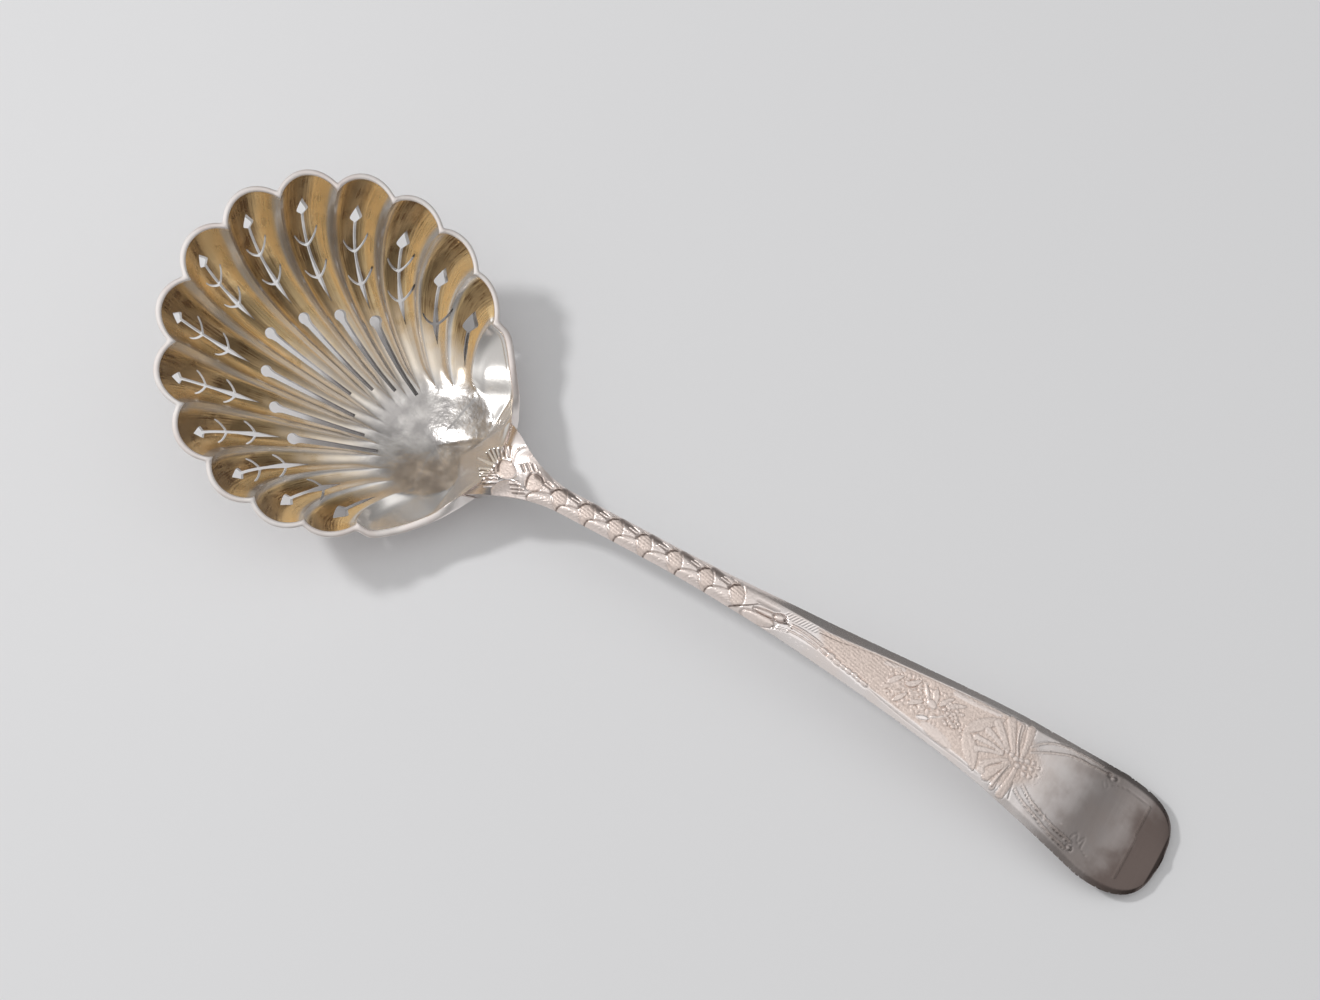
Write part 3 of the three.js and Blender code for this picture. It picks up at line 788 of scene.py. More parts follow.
@dataclass
class Piercing:
    """Slots and sprigs, as plan outlines in the rim's frame.

    Their ends are shares of the way in the middle flute, each with its loss toward the sides.
    """

    bowl: Bowl
    slot_lobes: int = 3
    bud_tip: Pair = (0.955, 0.0075)
    stalk_foot: Pair = (0.51, 0.053)
    slot_head: Pair = (0.435, 0.045)
    slot_foot: Pair = (0.125, 0.035)
    slot_steps: int = 30
    head_steps: int = 22
    head_opening: float = 1.35
    head_clearance: float = 1.25
    head_radius: float = 0.95
    slot_width: float = 1.1
    slot_end_width: float = 0.55
    bud_length: float = 2.8
    bud_growth: float = 0.035
    bud_width: float = 1.9
    bud_steps: int = 18
    bud_knots: tuple[float, ...] = (0, 0.15, 0.35, 0.55, 0.68, 0.76, 0.84, 0.92, 1)
    bud_swell: tuple[float, ...] = (0, 0.22, 0.5, 0.8, 0.97, 1, 0.86, 0.5)
    stalk_steps: int = 24
    stalk_knots: tuple[float, ...] = (0.6, 0.8, 1)
    stalk_width: float = 0.45
    point_half_width: float = 0.04
    crotch_width: float = 0.85
    twig_places: tuple[float, ...] = (0.2, 0.5)
    twig_forward: float = 2.2
    twig_sideways: float = 1.9
    twig_width: float = 0.42
    twig_bend: Pair = (0.35, 0.75)
    twig_loss: float = 0.4
    twig_steps: int = 12
    twig_start_step: float = 0.02

    def along(self, place: float, shares: Array) -> Array:
        """Points of a flute's middle at shares of the way."""
        line = self.bowl.flute_lines(np.array([place]))
        return np.concatenate([self.bowl.plan(line, float(share)) for share in shares])

    def batches(self) -> list[list[Array]]:
        """Outlines of the cuts, in groups whose members stay clear of each other."""
        half = (self.bowl.lobes - 1) // 2
        places = range(-half, half + 1)
        stalks = [self.stalk(place) for place in places]
        slots = [self.slot(place) for place in places if abs(place) <= self.slot_lobes]
        twigs = [[twig for place in places for twig in self.twigs(place, side)] for side in (-1, 1)]
        return [stalks + slots, *twigs]

    def ends(self, place: int) -> Pair:
        """Shares of the way at which a sprig's bud and its stalk end."""
        size = abs(place)
        tip = self.bud_tip[0] - self.bud_tip[1] * size * size
        return tip, self.stalk_foot[0] - self.stalk_foot[1] * size

    def slot(self, place: int) -> Array:
        """Slot with a round head toward the rim and a tail that narrows toward the hub."""
        size = abs(place)
        head, foot = (share - loss * size for share, loss in (self.slot_head, self.slot_foot))
        middle = self.along(place, np.linspace(head, foot, self.slot_steps))
        run = np.concatenate([[0], np.cumsum(np.linalg.norm(np.diff(middle, axis=0), axis=1))])
        widths = np.linspace(self.slot_width, self.slot_end_width, len(run)) / 2
        behind = unit(middle[0] - middle[1])
        aside = left_of(behind)
        open_turn = math.asin(widths[0] / self.head_radius) * self.head_opening
        turns = np.linspace(math.pi - open_turn, open_turn - math.pi, self.head_steps)
        circle = np.outer(np.cos(turns), behind) + np.outer(np.sin(turns), aside)
        beyond = run > self.head_radius * self.head_clearance
        tail = ribbon(middle[beyond], widths[beyond])
        return np.concatenate([middle[0] + self.head_radius * circle, tail])

    def stalk(self, place: int) -> Array:
        """Pointed bud near the rim, and its stalk down the flute to a point."""
        tip, foot = self.ends(place)
        ends = self.along(place, np.array([tip, foot]))
        length = self.bud_length + self.bud_growth * place * place
        bud = tip + (foot - tip) * length / float(np.linalg.norm(ends[1] - ends[0]))
        slim = self.stalk_width / self.bud_width
        bud_shares = np.linspace(0, 1, self.bud_steps)
        swell = np.interp(bud_shares, self.bud_knots, [*self.bud_swell, slim])
        crotch = self.crotch_width if self.twigs(place, 1) else self.stalk_width
        stalk_shares = np.linspace(0, 1, self.stalk_steps)[1:]
        where = (stalk_shares * (foot - bud) + bud - tip) / (foot - tip)
        slender = np.interp(where, self.stalk_knots, [self.stalk_width, crotch, 0]) / 2
        slender = np.maximum(slender, self.point_half_width)
        shares = np.concatenate([tip + (bud - tip) * bud_shares, bud + (foot - bud) * stalk_shares])
        return ribbon(self.along(place, shares), np.concatenate([swell * self.bud_width / 2, slender]))

    def twigs(self, place: int, side: int) -> list[Array]:
        """Curved twigs that leave a stalk toward one side."""
        size = abs(place)
        count = 2 if size <= 4 else 1 if size <= 5 else 0
        tip, foot = self.ends(place)
        return [self.twig(place, foot + (tip - foot) * share, side) for share in self.twig_places[:count]]

    def twig(self, place: int, share: float, side: int) -> Array:
        """One twig, from a share of the way toward one side."""
        start, ahead = self.along(place, np.array([share, share + self.twig_start_step]))
        forward = unit(ahead - start)
        sideways = side * left_of(forward)
        on, aside = self.twig_bend
        bend = start + on * self.twig_forward * forward + aside * self.twig_sideways * sideways
        end = start + self.twig_forward * forward + self.twig_sideways * sideways
        shares = np.linspace(0, 1, self.twig_steps)[:, None]
        widths = self.twig_width / 2 * (1 - self.twig_loss * shares[:, 0])
        widths[-1] *= 0.5
        return ribbon(bezier(start, bend, end, shares), widths)


# Ornament


@dataclass
class Engraving:
    """Cut and raised work on a face, read at its points.

    Along and across are places on the face. Height is what the work adds to it, cut is how deep a tool went
    there and how dark it is painted, tarnish in the cuts and painted shadow in the grooves beside raised
    forms, matting is how much it was dulled with a punch, and hatching is where fine lines run.
    """

    along: Array
    across: Array
    rib_matting: float = 0.45
    crown: float = 0.18
    step: float = 0.04
    # How dark the groove beside a blade or a leaf is painted, as painted shadow.
    beside: float = 0.55
    height: Array = field(init=False)
    cut: Array = field(init=False)
    matting: Array = field(init=False)
    hatching: Array = field(init=False)

    def __post_init__(self) -> None:
        """Start with a plain face."""
        self.along, self.across = self.along.ravel(), self.across.ravel()
        self.height, self.cut, self.matting, self.hatching = (np.zeros_like(self.along) for _ in range(4))

    def near(self, points: Array, margin: float) -> Array:
        """Which of the face's points are near some others.

        Args:
            points: The others.
            margin: How near.

        Returns:
            Indices of the face's points.
        """
        low, high = points.min(0) - margin, points.max(0) + margin
        inside = (self.along > low[0]) & (self.along < high[0])
        return np.flatnonzero(inside & (self.across > low[1]) & (self.across < high[1]))

    def spots(self, where: Array) -> Array:
        """Places of some of the face's points."""
        return np.column_stack([self.along[where], self.across[where]])

    def reach(self, points: Places, widths: Pair) -> tuple[Array, Array]:
        """How far the face's points are from a curved stroke.

        Args:
            points: Start, bend and end, or start and end alone, or four or more to pass through.
            widths: The stroke's width at the start and at the end.

        Returns:
            Indices of the points near it, and their distances in half widths.
        """
        knots = np.array(points, float)
        bend = knots[1] if len(knots) == 3 else knots.mean(0)
        line = bezier(knots[0], bend, knots[-1], np.linspace(0, 1, 9)[:, None])
        if len(knots) > 3:
            line = spline(points, 6)
        shares = np.linspace(0, 1, len(line))
        where = self.near(line, max(widths))
        spot = self.spots(where)
        best = np.full(len(where), 9.0)
        for index, (start, end) in enumerate(zip(line, line[1:])):
            way = end - start
            share = clamp(((spot - start) @ way) / max(float(way @ way), 1e-9))
            gap = np.linalg.norm(spot - start - share[:, None] * way, axis=1)
            width = np.interp(shares[index] + share * shares[1], [0, 1], widths) / 2
            best = np.minimum(best, gap / np.maximum(width, 1e-6))
        return where, best

    def stroke(self, points: Places, widths: Pair, deep: float, dark: float = 1.0) -> None:
        """Cut one stroke of the graver.

        Args:
            points: Its line, as reach takes it.
            widths: Its width at the start and at the end.
            deep: How deep it goes in the middle.
            dark: How dark it is painted: tarnish in a cut, and painted shade on the strokes that stand for
                shadow.
        """
        where, best = self.reach(points, widths)
        shape = clamp(1 - best**2)
        self.height[where] -= deep * shape
        self.cut[where] = np.maximum(self.cut[where], dark * np.sqrt(shape))

    def rib(self, points: Places, widths: Pair, rise: float) -> None:
        """Leave one bright stroke standing.

        Args:
            points: Its line, as reach takes it.
            widths: Its width at the start and at the end.
            rise: How high it stands.
        """
        where, best = self.reach(points, widths)
        shape = clamp(1 - best**2)
        self.height[where] += rise * np.sqrt(shape)
        self.cut[where] *= 1 - np.sqrt(shape)
        self.matting[where] = np.where(shape > 0, self.rib_matting, self.matting[where])

    def comb(self, feet: Places, tips: Places, count: int, width: float) -> None:
        """Ribs side by side on a ground that is cut and painted dark, as painted shade.

        Args:
            feet: Points that the ribs' feet lie on.
            tips: Points that their tips lie on, as many.
            count: How many ribs there are.
            width: A rib's width at its foot.
        """
        shares = np.linspace(0, 1, 2 * count - 1)
        knots = np.linspace(0, 1, len(feet))
        starts, ends = (
            np.column_stack([np.interp(shares, knots, column) for column in zip(*points)])
            for points in (feet, tips)
        )
        for start, end in zip(starts[1::2], ends[1::2]):
            self.stroke([start, end], (1.0 * width, 1.2 * width), 0.1, 0.75)
        for start, end in zip(starts[::2], ends[::2]):
            self.rib([start, end], (width, 0.6 * width), 0.1)

    def lay(
        self, where: Array, body: Array, top: Array, marked: Array, dip: Array, shadow: Array,
        dull: float, hatch: float = 0,
    ) -> None:
        """Lay one raised form over what is there.

        Args:
            where: Indices of the face's points near it.
            body: Which of them it covers.
            top: Its height.
            marked: How deep a tool went into it.
            dip: How deep the groove beside it goes.
            shadow: How dark that groove is painted, as painted shadow.
            dull: How much it is matted.
            hatch: How much it is hatched.
        """
        self.height[where] = np.where(body, top, self.height[where] - dip)
        self.cut[where] = np.where(body, marked, np.maximum(self.cut[where], shadow))
        self.matting[where] = np.where(body, dull, self.matting[where])
        self.hatching[where] = np.where(body, hatch, self.hatching[where])

    def boss(
        self, middle: Place, radii: Place, turn: float, rise: float, dull: float, hatch: float = 0,
        lean: float = 0, shade: float = 0.6,
    ) -> None:
        """Raise one rounded boss over what is there, with a groove round it.

        Args:
            middle: Where it is.
            radii: Its half length and half width.
            turn: Degrees that its length is turned from the face's length.
            rise: How high it stands.
            dull: How much its top is matted.
            hatch: How much its top is hatched.
            lean: How much its far end sinks under what follows.
            shade: How dark the groove is painted, as painted shadow.
        """
        centre = np.array([middle], float)
        where = self.near(centre, max(radii) + 0.4)
        away = self.spots(where) - centre
        cosine, sine = math.cos(math.radians(turn)), math.sin(math.radians(turn))
        size = np.hypot((away @ [cosine, sine]) / radii[0], (away @ [-sine, cosine]) / radii[1])
        outside = (size - 1) * min(radii)
        open_end = clamp(1 - lean * (1 + away[:, 0] / max(radii)))
        groove = bell(outside, 0.06, 0.12) * (outside > -0.1) * open_end
        top = rise * dome(size) * open_end
        dip, shadow = 0.6 * abs(rise) * groove, shade * groove
        self.lay(where, size < 1, top - dip, shadow, dip, shadow, dull, hatch)

    def blade(self, points: Places, width: float, dull: float) -> None:
        """Raise one curved blade of a leaf over what is there, pointed at its tip.

        Args:
            points: Start, bend and tip.
            width: Its width.
            dull: How much it is matted.
        """
        where, best = self.reach(points, (0.5 * width, width))
        top = self.crown * dome(best) + self.step
        vein = bell(best, 0, 0.22)
        groove = bell((best - 1) * width / 2, 0.05, 0.11)
        self.lay(where, best < 1, top - 0.05 * vein, 0.3 * vein, 0.08 * groove, self.beside * groove, dull)

    def leaf(self, base: Place, tip: Place, half: float, bend: float = 0, dull: float = 0.4) -> None:
        """Raise one pointed leaf over what is there, with a midrib and slanting veins.

        Args:
            base: Where it starts.
            tip: Where it ends.
            half: Its half width.
            bend: How far its middle bows to its left.
            dull: How much it is matted.
        """
        ends = np.array([base, tip], float)
        length = float(np.linalg.norm(ends[1] - ends[0]))
        way = (ends[1] - ends[0]) / length
        where = self.near(ends, half + abs(bend) + 0.4)
        away = self.spots(where) - ends[0]
        share = (away @ way) / length
        off = away @ left_of(way) - 4 * bend * share * (1 - share)
        width = half * np.sin(math.pi * np.clip(share, 0.001, 0.999) ** 0.8) ** 0.7
        size = np.abs(off) / width
        body = (share > 0) & (share < 1) & (size < 1)
        midrib = bell(off, 0, 0.16)
        veins = 0.5 + 0.5 * np.cos(2 * math.pi * (share * length - 0.9 * np.abs(off)) / 0.62)
        plain = self.crown * dome(size) + self.step
        top = plain - 0.07 * midrib - 0.015 * veins
        groove = bell((size - 1) * width, 0.06, 0.11) * (share > -0.02) * (share < 1.02)
        marked = np.maximum(0.4 * midrib, 0.1 * veins)
        self.lay(where, body, top, marked, 0.1 * groove, self.beside * groove, dull)


@dataclass
class Ornament:
    """What is cut into the stem and the neck, by distance from the seam and across it.

    A start or an end is the two distances between which something eases in or out.
    """

    unit_starts: tuple[float, ...] = (7.9, 13.0, 18.2, 23.5, 28.9, 34.6, 40.0)
    bevel_places: tuple[float, ...] = (42, 50, 60, 64, 68, 73, 80, 90, 100, 108, 114, 118)
    bevel_widths: tuple[float, ...] = (0.5, 1.0, 1.7, 1.6, 1.4, 1.3, 1.2, 1.2, 1.1, 1.0, 0.9, 0.8)
    scales_start: Pair = (3.0, 6.0)
    scales_end: Pair = (46.0, 54.0)
    scales_matting: float = 0.35
    field_start: Pair = (58.5, 60.5)
    field_end: Pair = (96.0, 99.0)
    field_matting: float = 0.95
    hatching_end: Pair = (70.0, 84.0)
    field_hatching: float = 0.6
    shallow_start: Pair = (56.0, 66.0)
    shallow_loss: float = 0.4
    bud_reach: Pair = (70.6, 80.5)
    bud_count: int = 150
    cluster: Pair = (82.3, -0.1)
    berry_count: int = 60
    seed: int = 7

    def bevel(self, along: Array) -> Array:
        """Width of the bevel beside the handle's middle field, by distance from the seam."""
        return np.interp(along, self.bevel_places, self.bevel_widths)

    def carve(self, face: Engraving, half_width: Array) -> None:
        """Cut all of it, from the neck to the handle's end.

        Args:
            face: What it is cut into.
            half_width: Half the stem's width at the face's points.
        """
        chance = np.random.default_rng(self.seed)
        inner = half_width.ravel() - self.bevel(face.along)
        self.matted_field(face, inner)
        self.neck_fan(face)
        self.first_scales(face)
        for start in self.unit_starts:
            self.scale_unit(face, start, chance)
        self.leaf_twist(face)
        self.ridge_and_edges(face)
        self.foliage(face, chance)
        self.leaves(face)
        self.root(face)
        kept = 1 - self.shallow_loss * smoothstep(face.along, *self.shallow_start)
        face.height *= kept
        face.cut *= kept
        self.cartouche(face)

    def matted_field(self, face: Engraving, inner: Array) -> None:
        """Dull and hatch the ground between the bevels, up to the bare place near the end.

        Args:
            face: What it is cut into.
            inner: How far across the bevel starts, at the face's points.
        """
        inside = smoothstep(inner - np.abs(face.across), 0, 0.3)
        begun = smoothstep(face.along + 0.8 * face.across, *self.field_start)
        ended = 1 - smoothstep(face.along + 0.18 * face.across**2, *self.field_end)
        face.matting = np.maximum(face.matting, self.field_matting * inside * begun * ended)
        fading = 1 - smoothstep(face.along, *self.hatching_end)
        face.hatching = np.maximum(face.hatching, self.field_hatching * inside * begun * fading)
        worked = (1 - smoothstep(face.along, *self.scales_end)) * smoothstep(face.along, *self.scales_start)
        face.matting = np.maximum(face.matting, self.scales_matting * worked)

    def neck_fan(self, face: Engraving) -> None:
        """Strokes that spread over the neck toward the bowl."""
        face.stroke([(0.0, 0.6), (-1.6, 1.3), (-2.9, 1.9)], (1.5, 0.3), 0.08, 0.7)
        face.stroke([(0.2, -0.7), (-0.6, -1.2), (-1.2, -2.0)], (1.2, 0.3), 0.08, 0.7)
        feet = [(-0.1, 0.7), (0.0, 1.3), (0.5, 1.7), (1.2, 2.0), (2.1, 2.3)]
        tips = [(-2.9, 2.3), (-2.0, 2.8), (-0.9, 3.1), (0.3, 3.6), (1.6, 3.7)]
        face.comb(feet, tips, 6, 0.42)
        feet = [(0.1, -0.6), (0.8, -1.1), (1.6, -1.6), (2.2, -2.1), (2.9, -2.9)]
        tips = [(-2.3, -1.0), (-1.5, -1.8), (-1.0, -2.4), (0.2, -3.1), (1.4, -4.2)]
        face.comb(feet, tips, 6, 0.44)
        face.rib([(0, 0.3), (-1.6, 0.3), (-3.8, 0.65)], (0.6, 0.24), 0.12)

    def first_scales(self, face: Engraving) -> None:
        """The two wide units next to the bowl, which differ from the rest."""
        face.boss((4.4, -3.2), (2.1, 1.9), 60, 0.14, 0.55, shade=0.45)
        feet = [(5.3, -0.9), (6.3, -1.5), (7.0, -1.9), (7.7, -2.3)]
        tips = [(4.2, -1.5), (4.9, -2.2), (5.4, -2.7), (6.0, -3.2)]
        face.comb(feet, tips, 4, 0.34)
        face.boss((2.3, 0.1), (1.9, 1.45), -12, 0.16, 0.85, shade=0.35)
        face.stroke([(0.7, 0.9), (0.8, 0.1), (1.4, -0.6)], (0.9, 0.7), 0.14, 0.8)
        face.stroke([(3.6, 2.1), (3.9, 3.0), (4.7, 3.9)], (2.0, 1.4), 0.05, 0.55)
        face.rib([(2.8, 1.4), (2.2, 2.7), (2.7, 3.9)], (0.3, 0.4), 0.16)
        face.rib([(2.7, 3.9), (2.9, 4.4), (3.6, 4.7)], (0.4, 0.24), 0.16)
        feet = [(4.9, 0.9), (5.6, 1.4), (6.4, 1.8), (7.2, 2.1)]
        tips = [(4.0, 1.7), (4.6, 2.2), (5.3, 2.7), (6.3, 2.9)]
        face.comb(feet, tips, 4, 0.36)
        face.boss((7.6, 0.2), (1.55, 1.45), -30, 0.16, 0.85, shade=0.4)
        face.stroke([(6.3, 1.3), (6.2, 0.2), (6.8, -0.9)], (0.7, 0.5), 0.12, 0.8)
        face.rib([(7.4, 2.4), (8.3, 1.6), (8.7, 0.6)], (0.26, 0.18), 0.1)

    def scale_unit(self, face: Engraving, start: float, chance: np.random.Generator) -> None:
        """A bright plain scale that laps the last unit, a comb above it and a striped scale after it.

        Args:
            face: What it is cut into.
            start: Where the plain scale's free end is.
            chance: For the small differences of handwork.
        """
        shake = chance.uniform(-0.1, 0.1, 6)
        # Broad dark stroke: painted shadow on the ground above the plain scale.
        face.stroke([(start - 0.4, 1.5), (start + 1.2, 1.2), (start + 2.6, 0.6)], (1.5, 1.0), 0.08, 0.75)
        feet = [(2.7, 0.75), (3.3, 1.2), (4.2, 1.6), (2.3, 0.25)]
        tips = [(1.3, 0.95), (1.6, 1.45), (2.3, 1.95), (1.1, 0.4)]
        for foot, tip, moved in zip(feet, tips, shake):
            face.rib([(start + foot[0], foot[1]), (start + tip[0], tip[1] + moved)], (0.36, 0.24), 0.12)
        face.boss((start + 2.7, -1.75 + shake[4]), (2.75, 1.5), 10, 0.26, 0.45, lean=0.45, shade=0.75)
        for step in range(4):
            begin = (start + 0.9 + 0.75 * step, -2.3 + 0.12 * step)
            end = (start + 2.4 + 0.7 * step, -1.2 - 0.1 * step)
            face.stroke([begin, end], (0.12, 0.2), 0.05, 0.3)
        face.boss((start + 4.6, -0.3 + shake[5]), (1.95, 1.2), -58, 0.2, 0.85, 0.8, lean=0.2, shade=0.5)
        # Dark stroke: painted shadow at the striped scale's upper left.
        face.stroke([(start + 3.0, 0.1), (start + 3.3, 0.9), (start + 4.3, 1.25)], (0.8, 0.45), 0.12, 0.8)
        face.rib([(start + 3.3, -0.25), (start + 3.6, -0.8), (start + 4.1, -1.2)], (0.5, 0.3), 0.1)
        face.rib([(start + 4.7, 1.95), (start + 5.4, 1.35), (start + 5.8, 0.5)], (0.24, 0.18), 0.12)

    def leaf_twist(self, face: Engraving) -> None:
        """Two long plain leaves that cross, then hatched ribs on either side of the middle."""
        face.stroke([(44.4, -2.3), (46.4, -1.4), (48.2, 0.1)], (0.34, 0.24), 0.1, 0.8)
        face.boss((49.3, -1.9), (2.7, 0.85), 6, 0.24, 0.5, shade=0.5)
        face.stroke([(48.0, 0.5), (49.6, 0.6), (51.4, 0.7)], (1.0, 0.8), 0.06, 0.45)
        face.boss((50.6, -0.55), (2.5, 0.42), 6, 0.26, 0.5, shade=0.6)
        face.boss((52.2, -0.2), (0.95, 0.58), 12, 0.34, 0.5, shade=0.6)
        face.stroke([(53.0, -0.2), (53.8, -0.4), (54.6, -0.75)], (0.5, 0.24), 0.1, 0.8)
        for step in range(6):
            along = 51.6 + 0.5 * step
            ends = [(along, -2.2 + 0.1 * step), (along + 0.8, -1.3 + 0.06 * step)]
            face.stroke(ends, (0.24, 0.16), 0.07, 0.6)
        for step in range(11):
            along = 52.4 + 0.55 * step
            ends = [(along, 0.3 + 0.03 * step), (along + 0.6, 1.3 + 0.03 * step)]
            face.stroke(ends, (0.22, 0.14), 0.06, 0.5)
        ribs = (
            ([(53.9, -0.6), (56.4, -0.3), (59.8, -1.1)], (0.34, 0.46), 0.16),
            ([(54.2, -1.3), (56.6, -1.0), (59.4, -1.5)], (0.3, 0.34), 0.14),
            ([(54.4, -0.2), (56.6, 0.1), (59.9, -0.6)], (0.28, 0.34), 0.12),
        )
        for line, widths, rise in ribs:
            face.rib(line, widths, rise)

    def ridge_and_edges(self, face: Engraving) -> None:
        """The bright bumpy ridge along the field's near edge, and the field's two fine edges."""
        bumps = (
            (60.7, -1.2, 0.75, 0.44), (61.9, -1.4, 0.8, 0.5), (63.1, -1.75, 0.8, 0.45),
            (64.3, -1.95, 0.65, 0.34), (65.3, -2.05, 0.7, 0.4), (66.4, -2.15, 0.6, 0.42),
            (67.2, -2.4, 0.6, 0.34), (68.2, -2.55, 0.7, 0.36),
        )
        for along, across, length, width in bumps:
            face.boss((along, across), (length, width), -14, 0.2, 0.55, shade=0.2)
        face.rib([(60.2, -1.1), (64.4, -1.95), (68.9, -2.6)], (0.5, 0.5), 0.1)
        near = [(68.8, -2.8), (73.0, -3.6), (77.0, -4.2), (84.0, -4.9), (92.0, -5.5)]
        far = [(58.6, 0.9), (61.9, 1.2), (64.2, 1.7), (69.0, 2.5), (76.0, 3.3), (83.0, 4.3), (92.0, 5.6)]
        face.stroke(near, (0.2, 0.2), 0.06, 0.8)
        face.stroke(far, (0.22, 0.22), 0.07, 0.8)
        face.rib([(69.6, 2.1), (71.0, 2.4), (72.4, 2.5)], (0.8, 0.6), 0.1)
        face.rib([(81.0, 3.5), (84.6, 3.6), (88.4, 4.4)], (0.9, 0.6), 0.1)

    def foliage(self, face: Engraving, chance: np.random.Generator) -> None:
        """Small leaves, buds and a cluster of berries that fill the matted field."""
        for _ in range(self.bud_count):
            along = chance.uniform(*self.bud_reach)
            across = chance.uniform(-0.95, 0.95) * (2.2 + (along - self.bud_reach[0]) * 0.12)
            size = chance.uniform(0.22, 0.36)
            radii = (size * chance.uniform(1, 1.9), size)
            face.boss((along, across), radii, chance.uniform(20, 160), 0.1, 0.85, shade=0.45)
        sprays = (
            ((71.2, -0.6), (73.0, 1.7), 0.5), ((73.2, -2.6), (74.6, -0.4), 0.45),
            ((73.6, 0.6), (75.6, 2.6), 0.5), ((75.2, -1.8), (77.4, -0.2), 0.45),
            ((79.0, 0.6), (78.0, 2.9), 0.5), ((79.6, 0.4), (81.2, 2.8), 0.5),
            ((80.6, 0.8), (83.4, 2.6), 0.45),
        )
        for base, tip, half in sprays:
            face.leaf(base, tip, half, chance.uniform(-0.2, 0.2), 0.7)
        middle, low = self.cluster
        for _ in range(self.berry_count):
            along = middle + chance.normal(0, 0.95)
            across = low - 0.45 * (along - middle) + chance.normal(0, 0.75)
            face.boss((along, across), (0.32, 0.3), 0, 0.14, 0.75, shade=0.65)
        bosses = (
            ((81.4, -3.7), (3.0, 0.85), -10, 0.05, 0.6, 0.15),
            ((77.2, 1.3), (1.5, 0.34), -52, 0.22, 0.6, 0.4),
            ((78.6, 0.1), (0.95, 0.62), -25, 0.22, 0.6, 0.5),
            ((78.3, -2.5), (1.0, 0.4), 20, 0.14, 0.1, 0.4),
        )
        for middle, radii, turn, rise, dull, shade in bosses:
            face.boss(middle, radii, turn, rise, dull, shade=shade)
        face.rib([(79.4, -1.8), (80.2, -1.3), (81.0, -0.6)], (0.4, 0.3), 0.12)

    def leaves(self, face: Engraving) -> None:
        """Long leaves that spread from one root before the bare place."""
        face.leaf((85.0, -0.8), (88.8, -5.3), 1.2, 0.15, 0.75)
        face.leaf((84.6, -1.0), (89.4, 4.2), 0.95, 0.25, 0.8)
        blades = (
            ((91.4, -0.4), (89.4, -0.2), (86.8, -0.6), 1.0, 0.6),
            ((91.4, -0.7), (89.4, -1.2), (87.7, -2.1), 1.0, 0.6),
            ((91.8, 0.1), (90.2, 0.7), (87.9, 1.3), 1.1, 0.65),
            ((92.0, 0.3), (90.6, 1.6), (88.7, 3.1), 1.4, 0.7),
            ((92.4, -1.0), (90.6, -2.2), (89.6, -3.6), 1.2, 0.75),
            ((92.8, 0.5), (91.6, 2.4), (90.3, 4.6), 1.5, 0.8),
            ((92.9, -1.2), (91.6, -3.0), (90.9, -4.9), 1.4, 0.8),
            ((94.2, 0.8), (94.2, 2.8), (93.6, 5.3), 1.25, 0.75),
            ((93.5, 0.7), (92.4, 2.4), (92.1, 4.9), 0.8, 0.6),
            ((93.2, -1.4), (92.4, -3.6), (92.5, -5.8), 0.8, 0.6),
            ((94.2, -1.3), (94.4, -3.4), (94.1, -5.9), 1.3, 0.8),
        )
        for root, bend, tip, width, dull in blades:
            face.blade([root, bend, tip], width, dull)
        face.stroke([(92.0, 4.9), (92.3, 2.6), (93.8, 0.7)], (0.4, 0.3), 0.12)
        face.stroke([(93.1, -1.5), (92.7, -3.4), (92.5, -5.8)], (0.3, 0.34), 0.1)
        face.stroke([(94.9, -3.3), (95.1, -4.4), (95.5, -5.8)], (0.3, 0.3), 0.1)
        face.boss((89.8, -4.5), (0.75, 0.55), -20, 0.16, 0.6, shade=0.3)

    def root(self, face: Engraving) -> None:
        """Bright bosses where the leaves meet."""
        bosses = (
            (91.9, 0.15, 0.45), (92.8, 0.15, 0.5), (93.7, 0.05, 0.55), (94.5, 0.35, 0.5),
            (95.3, 0.75, 0.55), (94.3, -0.7, 0.5), (95.4, -0.3, 0.45), (96.2, 1.1, 0.4),
            (96.4, 0.1, 0.4), (95.7, -1.3, 0.5), (96.6, -1.0, 0.4), (97.2, 0.9, 0.3),
            (97.3, -0.3, 0.3),
        )
        for along, across, size in bosses:
            face.boss((along, across), (size, 0.85 * size), 0, 0.2, 0.6, shade=0.35)

